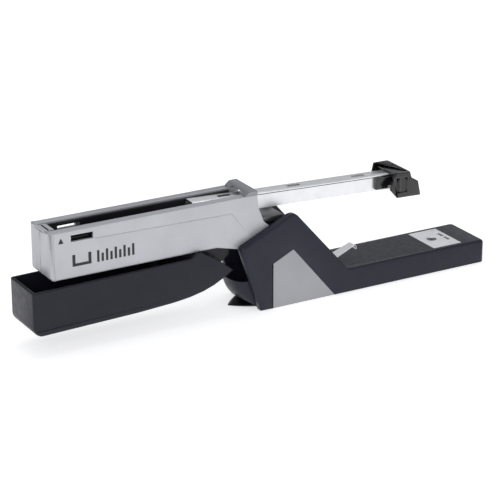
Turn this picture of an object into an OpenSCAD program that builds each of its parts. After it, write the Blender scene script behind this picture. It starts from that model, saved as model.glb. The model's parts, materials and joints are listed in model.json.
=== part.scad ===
// Desktop stapler lying open: base on the floor, head and handle folded back on the
// hinge, staple rail drawn out over the base. Origin on the floor under the hinge pin,
// mid-width; +X runs along the base towards the anvil, +Z is up.

/* [Base] */
// Overall width of the base
base_w = 45.7; // [45:0.1:48]
// Length of the base from the hinge to its front
base_front = 197.8; // [192:0.1:205]
// Height of the deck above the floor
deck_h = 18.5; // [18:0.1:19]
// Thickness of the two side walls that carry the hinge pin
yoke_t = 6.35; // [5.5:0.05:6.5]
// Height of the top of the side walls
yoke_h = 72.5; // [71:0.1:75]
// Thickness of the rubber sole
sole_t = 1; // [0.8:0.1:1.2]
// Thickness of the steel ballast plate
plate_t = 2.5; // [2:0.1:3]

/* [Anvil] */
// Distance from the hinge to the middle of the clinch groove
groove_x = 173.4; // [172:0.1:175]
// Length of the anvil plate along the base
anvil_l = 26.2; // [24:0.1:28]
// Width of the anvil plate
anvil_w = 36; // [30:0.1:38]

/* [Head] */
// Width of the head
head_w = 32; // [31:0.1:32.4]
// Distance from the hinge to the nose
nose_x = 177.5; // [176.5:0.1:179]
// Height of the head's face when open
face_z = 90.8; // [90.5:0.1:91]
// Height of the head's back when open
back_z = 55; // [54.8:0.1:55.2]
// Wall thickness of the two head shells
shell_t = 2.2; // [2:0.1:2.4]
// Half width of the slot in the face
slot_half = 8.7; // [8.7:0.1:9]

/* [Handle] */
// Outside width of the handle
handle_w = 40; // [39.6:0.1:42]
// Distance from the hinge to the handle's tip
handle_tip = 193.2; // [190:0.1:196]
// Wall thickness of the handle
handle_t = 2.2; // [2:0.1:2.4]

/* [Rail] */
// Width of the staple rail
rail_w = 10.6; // [10.4:0.1:10.8]
// Height of the staple rail
rail_h = 12.3; // [12:0.1:12.5]
// Sheet thickness of the rail
rail_t = 0.8; // [0.7:0.1:1]
// Droop of the drawn rail, in degrees
rail_droop = 2.4; // [2.2:0.1:2.5]

/* [Pins] */
// Radius of the hinge pin
hinge_r = 2.5; // [2.3:0.1:2.7]
// Radius of the handle pin
handle_pin_r = 2; // [1.8:0.1:2.2]
// Radius of the lever pin
lever_pin_r = 2; // [1.8:0.1:2.2]

/* [Hidden] */
$fn = 48;

run_gap = 0.04;          // radial play of a turning fit
hair = 0.15;             // gap between pieces that only lie beside each other
over = 1;                // how far a cutter passes the face it opens
rim_z = 0.2;             // lower edge of the base's walls, just clear of the floor
hinge_z = 54.9;          // height of the hinge pin
yoke_in = base_w / 2 - yoke_t;
deck_wall = 2.6;
hump_foot = 69.7;        // where the side wall's front slope meets the deck
rear_top = -25.9;
rear_top_z = 53.3;
rear_foot = -8.5;
pit_z = 12.5;            // floor between the side walls, under the hinge
pit_front = 32;
panel_t = 1.2;
panel_outline = [[2.2, 36.4], [19.7, 44.6], [57, rim_z], [2.2, rim_z]];
plate_back = 14;
plate_front = base_front - deck_wall - 1;
screw_x = [24, 104, 184];
screw_r = 1.4;
screw_head_r = 3;
anvil_t = 1.5;
anvil_top = deck_h + 0.2;
hole_x = 162;
heel_tip = -24.5;
heel_w = 27.4;
heel_t = 2.4;
leaf_t = 0.8;
leaf_w = 11;

head_half = head_w / 2;
seam_half = 0.05;        // half the gap of the seam between the two shells
channel_floor = 70;
channel_in = 6.6;
channel_out = slot_half - hair;
striker_x = -groove_x;
window = [-160.5, -143];
window_z = [82.3, 87.2];
lever_at = [-110, 58];
handle_at = [-50, 47];
ear_r = 9;
bracket_half = 10.5;
bracket_t = 1.5;
collar = [-18.5, -7.5];
collar_top = 94.2;
collar_slope = 4.1;      // length of the collar's sloping front
mount_half = 13.7;       // half width of the handle's mount
boss_x = [-72, -52];
boss_z = 62.2;
mount_x = [-56, -34];

rail_pivot = [6.5, 87.6];
rail_back = -57;
rail_end = 128;
rail_half = rail_w / 2;
cap_half = 16.2;
cap_t = 2.2;
cap_back = 134.15;       // where the hollow behind the rail's end stops
button_x = [116.6, 126.2];
button_z = [69.5, 81.5];

// Draws an outline given as [x, z] points, as thick as from y0 to y1
module slab(points, y0, y1) {
    translate([0, y1, 0])
        rotate([90, 0, 0])
            linear_extrude(y1 - y0)
                polygon(points);
}

// A box from its lowest to its highest corner
module block(low, high) {
    translate(low)
        cube(high - low);
}

// A round rod across the stapler, from y0 to y1, at a point [x, z]
module rod(at, r, y0, y1) {
    translate([at[0], y1, at[1]])
        rotate([90, 0, 0])
            cylinder(r = r, h = y1 - y0);
}

// An upright round rod
module post(at, r, z0, z1) {
    translate([at[0], at[1], z0])
        cylinder(r = r, h = z1 - z0);
}

// Points of an arc about c, from angle a0 to a1
function arc(c, r, a0, a1, n = 8) =
    [for (i = [0:n]) c + r * [cos(a0 + (a1 - a0) * i / n), sin(a0 + (a1 - a0) * i / n)]];

// Tilts the rail's pieces to the droop of the drawn rail
module droop() {
    translate([rail_pivot[0], 0, rail_pivot[1]])
        rotate([0, rail_droop, 0])
            children();
}

/* ---- base ---- */

yoke_outline = concat(
    [[rear_foot, rim_z], [hump_foot + 6, rim_z], [hump_foot + 6, deck_h], [hump_foot, deck_h]],
    arc([18.9, yoke_h - 7.6], 7.6, 41, 115),
    arc([rear_top + 3.6, rear_top_z - 2.2], 3, 115, 195, 5)
);

module base_frame() {
    color("#3b3c47")
        difference() {
            union() {
                for (side = [-1, 1])
                    slab(
                        yoke_outline,
                        side > 0 ? yoke_in : -base_w / 2,
                        side > 0 ? base_w / 2 : -yoke_in
                    );
                block([rear_foot + 0.4, -yoke_in, sole_t], [pit_front, yoke_in, pit_z]);
                deck_body();
            }
            // hollow under the deck
            block(
                [pit_front + 3, deck_wall - base_w / 2, 0],
                [base_front - deck_wall, base_w / 2 - deck_wall, deck_h - 3]
            );
            // hollow between the feet of the side walls
            block([plate_back - hair, -yoke_in, 0], [pit_front + 4, yoke_in, pit_z - 3]);
            // seat of the ballast plate
            block(
                [plate_back - hair, -base_w / 2 + deck_wall, 0],
                [plate_front + hair, base_w / 2 - deck_wall, sole_t + plate_t]
            );
            // seats of the grey side panels
            for (side = [-1, 1])
                slab(
                    panel_outline,
                    side > 0 ? base_w / 2 - panel_t : -base_w / 2 - over,
                    side > 0 ? base_w / 2 + over : -base_w / 2 + panel_t
                );
            // pocket of the heel foot
            block([rear_foot - over, -heel_w / 2 - hair, 0], [plate_back, heel_w / 2 + hair, heel_t + hair]);
            // seat of the anvil and its screw
            block(
                [anvil_back, -anvil_w / 2, anvil_top - anvil_t],
                [anvil_back + anvil_l, anvil_w / 2, deck_h + over]
            );
            post([hole_x, 0], 1.5, deck_h - 4, deck_h);
            // seat of the leaf spring's rivets
            for (x = leaf_rivet_x)
                post([x, 0], 1.5, deck_h - 4, deck_h + over);
            // blind seats of the hinge pin
            rod([0, hinge_z], hinge_r + run_gap, -pin_half - 0.1, pin_half + 0.1);
        }
    color("#3b3c47")
        for (x = screw_x)
            difference() {
                post([x, 0], 3.6, sole_t + plate_t, (x < pit_front ? pit_z : deck_h) - 2.9);
                post([x, 0], screw_r + run_gap, 0, 11);
            }
}

anvil_back = groove_x - 21.6;
leaf_rivet_x = [44, 54];
pin_half = base_w / 2 - 2.4;

module deck_body() {
    plan_r = 4;
    front = base_front - plan_r;
    intersection() {
        block([pit_front, -base_w / 2, rim_z], [base_front, base_w / 2, deck_h]);
        union() {
            block([pit_front, -base_w / 2, 0], [front, base_w / 2, deck_h + over]);
            block([front - over, plan_r - base_w / 2, 0], [base_front, base_w / 2 - plan_r, deck_h + over]);
            for (side = [-1, 1])
                post([front, side * (base_w / 2 - plan_r)], plan_r, 0, deck_h + over);
        }
    }
}

module side_panel(side) {
    color("#a9a9b0")
        slab(
            panel_outline,
            side > 0 ? base_w / 2 - panel_t : -base_w / 2,
            side > 0 ? base_w / 2 : -base_w / 2 + panel_t
        );
}

// The bulging apron that closes the rear between the side walls
module rear_cover() {
    wall = 2;
    cover_top = 23.4;
    bulge_r = 18.8;
    bulge_x = -7.2;
    half = yoke_in - hair;
    outer = concat(
        [[rear_foot, 2.7], [-14, 4.2]],
        [[-20, 9.3], [-23.4, 14.6], [-25.8, cover_top]],
        [[rear_foot, cover_top]]
    );
    inner = [
        [rear_foot + over, 4.9], [-13.4, 6.4], [-18.4, 10.6], [-21.4, 15.4], [-24, 26], [rear_foot + over, 26]
    ];
    color("#3b3c47")
        difference() {
            intersection() {
                slab(outer, -half, half);
                post([bulge_x, 0], bulge_r, 0, 40);
            }
            intersection() {
                slab(inner, -half - over, half + over);
                post([bulge_x, 0], bulge_r - wall, 0, 40);
            }
        }
}

module ballast_plate() {
    color("silver")
        difference() {
            block(
                [plate_back, -base_w / 2 + deck_wall + hair, sole_t],
                [plate_front, base_w / 2 - deck_wall - hair, sole_t + plate_t]
            );
            for (x = screw_x) {
                post([x, 0], screw_r + 0.2, 0, 9);
                post([x, 0], screw_head_r + 0.2, 0, sole_t + 1.2);
            }
        }
}

module sole() {
    color("#1c1c1e")
        difference() {
            block(
                [plate_back, -base_w / 2 + deck_wall + hair, 0],
                [plate_front, base_w / 2 - deck_wall - hair, sole_t]
            );
            for (x = screw_x)
                post([x, 0], screw_head_r + 0.4, -over, sole_t + over);
        }
}

module heel_foot() {
    tip_r = 3;
    root_x = -8;
    color("#101012")
        linear_extrude(heel_t)
            polygon(concat(
                [[plate_back - hair, -heel_w / 2], [plate_back - hair, heel_w / 2], [root_x, heel_w / 2]],
                arc([heel_tip + tip_r, 0], tip_r, 140, 220),
                [[root_x, -heel_w / 2]]
            ));
}

module base_screws() {
    color("silver")
        for (x = screw_x)
            difference() {
                union() {
                    post([x, 0], screw_head_r, 0.4, sole_t + 1.1);
                    post([x, 0], screw_r, sole_t, 9);
                }
                post([x, 0], 1.2, 0, 1.2);
            }
}

module anvil_plate() {
    pit = [2.6, 7];
    color("#dcdcde")
        difference() {
            block(
                [anvil_back, -anvil_w / 2, anvil_top - anvil_t],
                [anvil_back + anvil_l, anvil_w / 2, anvil_top]
            );
            post([hole_x, 0], 4, 0, 30);
            for (side = [-1, 1])
                translate([groove_x, side * 4.4, anvil_top])
                    cube([pit[0], pit[1], 1.6], center = true);
        }
}

module anvil_screw() {
    color("#303034")
        difference() {
            union() {
                post([hole_x, 0], 3.7, anvil_top - anvil_t, anvil_top - 0.4);
                post([hole_x, 0], screw_r, deck_h - 3.6, anvil_top - anvil_t + 0.1);
            }
            block([hole_x - 0.4, -5, anvil_top - 0.9], [hole_x + 0.4, 5, anvil_top]);
        }
}

module leaf_spring() {
    taper = [[38, -leaf_w / 2], [60, -leaf_w / 2], [89, -3.4], [89, 3.4], [60, leaf_w / 2], [38, leaf_w / 2]];
    color("silver")
        difference() {
            intersection() {
                leaf_strip();
                translate([0, 0, 10])
                    linear_extrude(30)
                        polygon(taper);
            }
            for (x = leaf_rivet_x)
                post([x, 0], 1.5, 10, 30);
        }
}

// The bent strip of the leaf spring: flat root, rising arm, curled tip
module leaf_strip() {
    slab([[39, deck_h], [61, deck_h], [61, deck_h + leaf_t], [39, deck_h + leaf_t]], -8, 8);
    slab([[60.6, deck_h], [86.2, 28.3], [85.8, 28.3 + leaf_t + 0.1], [60.6, deck_h + leaf_t]], -8, 8);
    difference() {
        rod([87, 26.8], 1.9, -8, 8);
        rod([87, 26.8], 1.1, -9, 9);
        block([80, -9, 20], [86, 9, 30]);
        block([80, -9, 20], [90, 9, 26.8]);
    }
}

module leaf_rivets() {
    color("silver")
        for (x = leaf_rivet_x) {
            post([x, 0], 1.45, deck_h - 3.5, deck_h + leaf_t);
            post([x, 0], 2.4, deck_h + leaf_t, deck_h + leaf_t + 0.9);
        }
}

module hinge_pin() {
    color("silver")
        rod([0, hinge_z], hinge_r, -pin_half, pin_half);
}

/* ---- head ---- */

head_outline = concat(
    [[-nose_x, back_z + 2], [-nose_x, face_z]],
    [[-7.8, face_z], [-6.9, 80.8], [-2.1, 68.8]],
    arc([0, hinge_z], ear_r, 37, -115),
    [[-20, 49.5], [-42, back_z], [2 - nose_x, back_z]]
);

module head_shell(side) {
    skin = side * (head_half - shell_t);
    seam = side * seam_half;
    pin_end = head_half - shell_t - 0.1;
    color("#b9b9be")
        difference() {
            union() {
                shell_case(side);
                for (x = boss_x)
                    rod([x, boss_z], 3.2, min(seam, skin), max(seam, skin));
                difference() {
                    rod(lever_at, 3.6, min(side * 5.2, skin), max(side * 5.2, skin));
                    block([-120, -20, 50], [-100, 20, back_z]);
                }
            }
            rod([0, hinge_z], hinge_r + run_gap, -20, 20);
            rod(lever_at, lever_pin_r, -pin_end, pin_end);
            for (x = boss_x)
                if (side > 0) {
                    rod([x, boss_z], 1.5, -20, 20);
                    rod([x, boss_z], 3, head_half - 1.2, 20);
                } else {
                    rod([x, boss_z], screw_r, -13, 20);
                }
        }
}

// One hollow half of the head's case, without its bosses and bores
module shell_case(side) {
    outer = side * head_half;
    skin = side * (head_half - shell_t);
    cavity = [
        [shell_t - nose_x, back_z + shell_t], [shell_t - nose_x, face_z - shell_t], [20, face_z - shell_t],
        [20, 40], [-20, 40], [-30, back_z + shell_t]
    ];
    difference() {
        slab(head_outline, min(side * seam_half, outer), max(side * seam_half, outer));
        // inside of the shell
        slab(cavity, min(0, skin) - (side > 0 ? over : 0), max(0, skin) + (side > 0 ? 0 : over));
        // slot in the face for the staple channel
        block([shell_t - nose_x, -slot_half, face_z - 8], [over, slot_half, face_z + over]);
        block([-nose_x - over, -7.2, face_z - 1.2], [shell_t - nose_x + over, 7.2, face_z + over]);
        // slot in the back for the lever and the striker
        block([shell_t - nose_x, -6.5, back_z - over], [-60, 6.5, back_z + shell_t + over]);
        // opening for the ears of the handle's mount
        block(
            [mount_x[0] - hair, -mount_half - 0.05, 50],
            [mount_x[1] + hair, mount_half + 0.05, back_z + shell_t + over]
        );
        // side window
        block(
            [window[0], -head_half - over, window_z[0]],
            [window[1], head_half + over, window_z[1]]
        );
    }
}

// Forked piece that holds the handle pin: two ears through the head's back on a flange inside it
module handle_mount() {
    flange_z = [back_z + shell_t + hair, back_z + shell_t + 1.4];
    flange_past = 2;
    ear_in = mount_half - 1.9;
    ear = concat(
        [[mount_x[0], flange_z[1]], [mount_x[1], flange_z[1]]],
        [[mount_x[1], 52.6], [-30.8, 51.8], [-30.8, 47.5], [-37.7, 42.7]],
        arc(handle_at, 5.2, -50, -180)
    );
    color("#17171a")
        difference() {
            union() {
                for (side = [-1, 1])
                    slab(ear, side > 0 ? ear_in : -mount_half, side > 0 ? mount_half : -ear_in);
                block(
                    [mount_x[0] - flange_past, -mount_half, flange_z[0]],
                    [mount_x[1] + flange_past, mount_half, flange_z[1]]
                );
            }
            rod(handle_at, handle_pin_r, -20, 20);
        }
}

module shell_screws() {
    color("silver")
        for (x = boss_x) {
            rod([x, boss_z], screw_r, -11, head_half - 1.3);
            difference() {
                rod([x, boss_z], 2.8, head_half - 1.2, head_half - 0.1);
                block([x - 0.4, head_half - 0.7, boss_z - 4], [x + 0.4, head_half + 1, boss_z + 4]);
            }
        }
}

module nose_plate() {
    front = shell_t - nose_x;
    color("#e2e2e4")
        block([front, -7, 72], [front + 0.9, 7, face_z]);
}

module staple_channel() {
    back = -19;
    front = shell_t - nose_x + 1;
    color("#1a1a1c")
        difference() {
            block([front, -channel_out, channel_floor - 1.5], [back, channel_out, face_z - 1]);
            block([front - over, -channel_in, channel_floor], [back + over, channel_in, face_z + over]);
            block([front - over, -channel_in, 60], [striker_x + 2, channel_in, 80]);
            block(
                [window[0], -channel_out - over, window_z[0]],
                [window[1], channel_out + over, window_z[1]]
            );
        }
}

// Raised band across the face, sloping in front, dished where the rail comes out
module rear_collar() {
    band = [
        [collar[0], face_z], [collar[0] + collar_slope, collar_top],
        [collar[1], collar_top], [collar[1], face_z]
    ];
    dish = [
        [collar[0] - over, face_z - over], [collar[0] - over, 93],
        [collar[1] + over, face_z - over]
    ];
    color("#6b6b70")
        difference() {
            slab(band, -head_half, head_half);
            slab(dish, -slot_half, slot_half);
        }
}

module hinge_bracket() {
    side_outline = concat(
        [[-40, 61.6], [-40, 69.7], [17.5, 69.7], [18.2, 66]],
        arc([0, hinge_z], 8, 20, -150, 10)
    );
    color("#55555a")
        difference() {
            union() {
                for (side = [-1, 1])
                    slab(
                        side_outline,
                        side > 0 ? bracket_half - bracket_t : -bracket_half,
                        side > 0 ? bracket_half : bracket_t - bracket_half
                    );
                block([-18.4, -bracket_half, 68.2], [17.4, bracket_half, 69.7]);
            }
            rod([0, hinge_z], hinge_r + run_gap, -12, 12);
        }
}

module handle_pin() {
    color("silver")
        rod(handle_at, handle_pin_r, 1.2 - handle_w / 2, handle_w / 2 - 1.2);
}

module lever_pin() {
    color("silver")
        rod(lever_at, lever_pin_r, -13.6, 13.6);
}

module power_spring() {
    color("silver")
        block([striker_x + 1.4, -4.4, 66.9], [-97, 4.4, 68.1]);
}

lever_outline = [
    [-84.5, 56.2], [-84.5, 60], [-104, 62.6], [-116, 62.8], [-150, 66], [-174.2, 66.4],
    [-174.2, 63.8], [-160, 62.4], [-128, 57.4], [-114, 54.6], [-106, 54.6]
];

module lever() {
    tip_half = 2;
    color("#7d7d82")
        difference() {
            slab(lever_outline, -4.4, 4.4);
            for (side = [-1, 1])
                translate([-180, side > 0 ? tip_half : -tip_half - 10, 50])
                    cube([12, 10, 30]);
            rod(lever_at, lever_pin_r + run_gap, -10, 10);
        }
}

module striker() {
    color("#d4d4d8")
        difference() {
            block([striker_x - 0.5, -6.2, 60], [striker_x + 0.5, 6.2, 89.8]);
            block([striker_x - 2, -2.5, 62.4], [striker_x + 2, 2.5, 67.8]);
        }
}

/* ---- handle ---- */

handle_top = [
    [-30, 36.6], [-44.7, 48.3], [-54.5, 53.9], [-57.5, 55.7], [-61.5, 55.3], [-66, 52.4],
    [-100, 51.9], [-handle_tip, 50.2]
];
handle_bottom = concat(
    arc([7.5 - handle_tip, 23.7], 7.5, 184, 264, 6),
    [[-149.5, 17.3], [-109.5, 18.5], [-80.5, 20.3], [-67.5, 21.8], [-55.5, 24.4], [-46.5, 27.6], [-38, 32]]
);
handle_outline = concat(handle_top, handle_bottom);
handle_inside = concat(
    [[-28, 37], [-44.7, 60], [handle_t - handle_tip, 60]],
    arc([7.5 - handle_tip, 23.7], 5.3, 184, 264, 6),
    [[-149.5, 19.5], [-109.5, 20.7], [-80.5, 22.5], [-67.5, 24], [-55.5, 26.7], [-46.5, 30], [-38, 34.8]]
);

module handle_shell() {
    half = handle_w / 2;
    inner = half - handle_t;
    color("#2b2c33")
        difference() {
            union() {
                difference() {
                    slab(handle_outline, -half, half);
                    slab(handle_inside, -inner, inner);
                    // the rear end is open, so that the handle passes the side walls' feet
                    block([-40, -inner, 20], [-20, inner, 60]);
                }
                for (side = [-1, 1])
                    rod(
                        handle_at, 4.6,
                        side > 0 ? mount_half + hair : -inner - 0.1,
                        side > 0 ? inner + 0.1 : -mount_half - hair
                    );
            }
            rod(handle_at, handle_pin_r + run_gap, 1 - half, half - 1);
            // seat of the pusher's foot
            block([-97, -6.5, 19], [-80, 6.5, pusher_seat]);
        }
}

pusher_seat = 23.4;
pusher_x = -88.5;

module handle_pusher() {
    color("#17171a") {
        block([-96.8, -6.3, pusher_seat - 1.6], [-80.2, 6.3, pusher_seat + 1]);
        difference() {
            union() {
                block([pusher_x - 3, -4, pusher_seat + 0.9], [pusher_x + 3, 4, 52.4]);
                rod([pusher_x, 52.4], 3, -4, 4);
            }
            block([pusher_x - 5, -1.2, 30], [pusher_x + 5, 1.2, 46]);
        }
    }
}

/* ---- rail ---- */

module feed_rail() {
    length = rail_end - rail_back;
    color("#e6e6ea")
        droop()
            translate([rail_back - rail_pivot[0], 0, -rail_h])
                difference() {
                    block([0, -rail_half, 0], [length, rail_half, rail_h]);
                    block(
                        [-over, rail_t - rail_half, -over],
                        [length + over, rail_half - rail_t, rail_h - rail_t]
                    );
                    for (x = [24, 84, 142])
                        block([x, -2, rail_h - 3], [x + 11, 2, rail_h + over]);
                }
}

cap_outline = [
    [110.9, 73.2], [113.5, 80], [115, 86.2], [128.7, 86],
    [130.1, 80.7], [136.5, 76.7], [139, 64.9], [117.3, 65.8]
];

cap_plate = [
    [116.8, 83.3], [116.8, 84.3], [118, 84.6], [127.8, 85.7], [128.5, 85.7], [128.9, 83.3]
];

module end_cap() {
    inner = cap_half - cap_t;
    color("#46464b")
        difference() {
            slab(cap_outline, -cap_half, cap_half);
            block([100, -inner, 60], [rail_end + hair, inner, 90]);
            block([rail_end - over, -inner, 60], [cap_back, inner, 74.5]);
            // windows of the squeeze buttons
            block([button_x[0], -20, button_z[0]], [button_x[1], 20, button_z[1]]);
        }
    // plate between the cheeks, over the rail's end
    color("#46464b")
        slab(cap_plate, -inner - 0.1, inner + 0.1);
    // ledges that stiffen the cup at its foot
    color("#46464b")
        for (side = [-1, 1])
            block(
                [119, side > 0 ? 12.6 : -inner - 0.1, 66.2],
                [cap_back + 0.1, side > 0 ? inner + 0.1 : -12.6, 67.6]
            );
}

module latch_block() {
    low = rail_half;
    color("#1d1d20")
        for (side = [-1, 1]) {
            block([102.5, side > 0 ? low : -8.2, 72.6], [113.5, side > 0 ? 8.2 : -low, 81.6]);
            block([113.4, side > 0 ? low : -7, 74], [118.4, side > 0 ? 7 : -low, 80.4]);
        }
}

module latch_button(side) {
    gap = 0.2;
    flange = [12.4, cap_half - cap_t - gap];
    color("#46464b") {
        block(
            [button_x[0] + gap, side > 0 ? flange[1] - 0.1 : 0.1 - cap_half, button_z[0] + gap],
            [button_x[1] - gap, side > 0 ? cap_half - 0.1 : 0.1 - flange[1], button_z[1] - gap]
        );
        block(
            [button_x[0] - 1.2, side > 0 ? flange[0] : -flange[1], button_z[0] - 1],
            [button_x[1] + 1.2, side > 0 ? flange[1] : -flange[0], button_z[1] + 1]
        );
    }
}

module latch_spring(side) {
    near = rail_half + 0.1;
    far = 12.3;
    at = [(button_x[0] + button_x[1]) / 2, (button_z[0] + button_z[1]) / 2];
    color("silver")
        difference() {
            rod(at, 2.2, side > 0 ? near : -far, side > 0 ? far : -near);
            rod(at, 1.6, -20, 20);
        }
}

module pusher() {
    side_in = rail_half + 0.15;
    side_out = channel_in - 0.2;
    color("#9a9aa0")
        droop()
            translate([rail_back - rail_pivot[0] + 1, 0, -rail_h]) {
                for (side = [-1, 1])
                    block(
                        [0, side > 0 ? side_in : -side_out, -1.1],
                        [18, side > 0 ? side_out : -side_in, rail_h - 2.5]
                    );
                block([0, -side_out, -1.1], [18, side_out, -0.3]);
                block([2, -3.4, -0.4], [8, 3.4, rail_h - 3.6]);
            }
}

module pusher_spring() {
    color("silver")
        droop()
            translate([rail_back - rail_pivot[0] + 9.2, 0, -rail_h + 5.2])
                rotate([0, 90, 0])
                    difference() {
                        cylinder(r = 2.1, h = rail_end - rail_back - 9.6);
                        translate([0, 0, -over])
                            cylinder(r = 1.5, h = rail_end - rail_back);
                    }
}

base_frame();
side_panel(1);  // side_panel_left
side_panel(-1);  // side_panel_right
rear_cover();
ballast_plate();
sole();
heel_foot();
base_screws();
anvil_plate();
anvil_screw();
leaf_spring();
leaf_rivets();
hinge_pin();
head_shell(1);  // head_shell_left
head_shell(-1);  // head_shell_right
shell_screws();
nose_plate();
staple_channel();
rear_collar();
hinge_bracket();
handle_mount();
handle_pin();
lever_pin();
power_spring();
lever();
striker();
handle_shell();
handle_pusher();
feed_rail();
end_cap();
latch_block();
latch_button(1);  // latch_button_left
latch_button(-1);  // latch_button_right
latch_spring(1);  // latch_spring_left
latch_spring(-1);  // latch_spring_right
pusher();
pusher_spring();
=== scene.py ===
"""Visual model of a desk stapler lying open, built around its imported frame.

The head and handle are folded back on the hinge and the staple rail is drawn out over
the base. Sizes in the classes are in millimetres; meshes are made in metres, in the
row frame: origin under the hinge pin, +X towards the anvil, +Z up.
"""

from __future__ import annotations

import json
import logging
import math
from collections.abc import Callable, Iterator, Sequence
from dataclasses import dataclass, field
from enum import Enum

import bmesh
import bpy
from mathutils import Matrix, Vector

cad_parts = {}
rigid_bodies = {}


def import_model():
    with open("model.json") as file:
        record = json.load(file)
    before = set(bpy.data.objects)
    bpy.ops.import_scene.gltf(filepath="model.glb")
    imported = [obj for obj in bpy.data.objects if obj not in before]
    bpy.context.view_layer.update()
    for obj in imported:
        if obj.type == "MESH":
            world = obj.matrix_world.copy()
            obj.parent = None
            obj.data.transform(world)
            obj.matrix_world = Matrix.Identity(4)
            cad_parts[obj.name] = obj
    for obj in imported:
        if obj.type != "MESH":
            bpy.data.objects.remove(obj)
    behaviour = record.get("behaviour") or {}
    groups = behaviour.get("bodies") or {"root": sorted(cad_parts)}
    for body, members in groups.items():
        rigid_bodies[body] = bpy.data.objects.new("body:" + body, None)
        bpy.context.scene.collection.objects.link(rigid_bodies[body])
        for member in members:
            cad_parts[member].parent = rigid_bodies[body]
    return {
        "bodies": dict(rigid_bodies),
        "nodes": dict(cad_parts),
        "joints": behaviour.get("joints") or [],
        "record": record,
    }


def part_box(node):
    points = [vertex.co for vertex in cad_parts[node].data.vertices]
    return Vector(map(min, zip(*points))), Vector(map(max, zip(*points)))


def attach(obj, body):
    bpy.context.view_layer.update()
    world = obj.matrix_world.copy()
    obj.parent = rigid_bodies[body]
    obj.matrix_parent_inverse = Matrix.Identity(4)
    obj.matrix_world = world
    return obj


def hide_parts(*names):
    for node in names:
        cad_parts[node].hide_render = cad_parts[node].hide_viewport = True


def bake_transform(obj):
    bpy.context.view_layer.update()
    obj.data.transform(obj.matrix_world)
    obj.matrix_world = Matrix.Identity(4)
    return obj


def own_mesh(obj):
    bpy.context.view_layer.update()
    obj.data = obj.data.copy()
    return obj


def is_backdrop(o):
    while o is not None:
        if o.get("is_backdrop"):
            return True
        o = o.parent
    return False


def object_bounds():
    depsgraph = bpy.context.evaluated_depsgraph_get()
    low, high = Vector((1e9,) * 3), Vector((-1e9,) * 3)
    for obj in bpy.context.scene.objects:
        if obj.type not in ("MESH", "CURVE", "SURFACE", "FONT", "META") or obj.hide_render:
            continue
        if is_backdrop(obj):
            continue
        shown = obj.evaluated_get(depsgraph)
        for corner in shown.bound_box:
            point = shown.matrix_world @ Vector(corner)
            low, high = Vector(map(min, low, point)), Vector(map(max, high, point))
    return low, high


LOG = logging.getLogger("stapler")
MM = 0.001
WELD = 2e-6  # metres: points closer than this become one
NEAR = 0.05  # millimetres off a side face within which an edge still lies on it
AT_END = 0.1  # millimetres off an end face within which an edge still lies on it
FLAT = math.radians(0.5)  # faces at a smaller angle than this are joined
SHARP = math.radians(25)  # edges at a greater angle than this can be rounded
CREASE = math.radians(40)  # edges at a greater angle than this stay sharp where none is rounded
DROOP = math.radians(2.4)  # the drawn rail's droop
NOISE_SPAN = (0.3, 0.7)  # the range that most of a noise lies in
Point2 = tuple[float, float]
Colour = tuple[float, float, float]


class Body(Enum):
    """The moving bodies that pieces ride on."""

    BASE = "base"
    HEAD = "head"
    LEVER = "lever"
    STRIKER = "striker"
    HANDLE = "handle"
    RAIL = "rail"
    BUTTON_LEFT = "button_left"
    BUTTON_RIGHT = "button_right"
    PUSHER = "pusher"


class Side(Enum):
    """The stapler's two sides, as the sign of Y."""

    LEFT = 1
    RIGHT = -1

    @property
    def label(self) -> str:
        """The side's name, as nodes and joints have it."""
        return self.name.lower()


class Brushed(Enum):
    """The way that a metal is brushed, as the scale of its marks on each axis."""

    ALONG = (0.03, 1.0, 1.0)
    ACROSS = (1.0, 0.03, 1.0)


# ---------------------------------------------------------------- finishes


class Noise(Enum):
    """Noises for surface detail, as blotches per metre and finer layers on top of them."""

    MOULDED_CLOUDS = (90, 4)
    MOULDED_HANDLING = (260, 6)
    MOULDED_GRAIN = (3200, 2)
    MOULDED_RIPPLE = (700, 3)
    PAINT_CLOUDS = (45, 5)
    PAINT_HANDLING = (420, 5)
    PAINT_FLAKE = (5200, 1)
    PAINT_RIPPLE = (160, 2)
    METAL_CLOUDS = (120, 4)
    METAL_SMUDGES = (900, 4)
    METAL_MARKS = (2600, 2)
    METAL_RIPPLE = (200, 2)
    RUBBER_DUST = (300, 6)
    RUBBER_WEAR = (800, 4)
    RUBBER_PEBBLES = (1500, 4)
    INK_CLOUDS = (900, 3)
    INK_WEAR = (1200, 3)
    INK_GRAIN = (4000, 1)
    FLOOR_CLOUDS = (3, 2)


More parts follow.
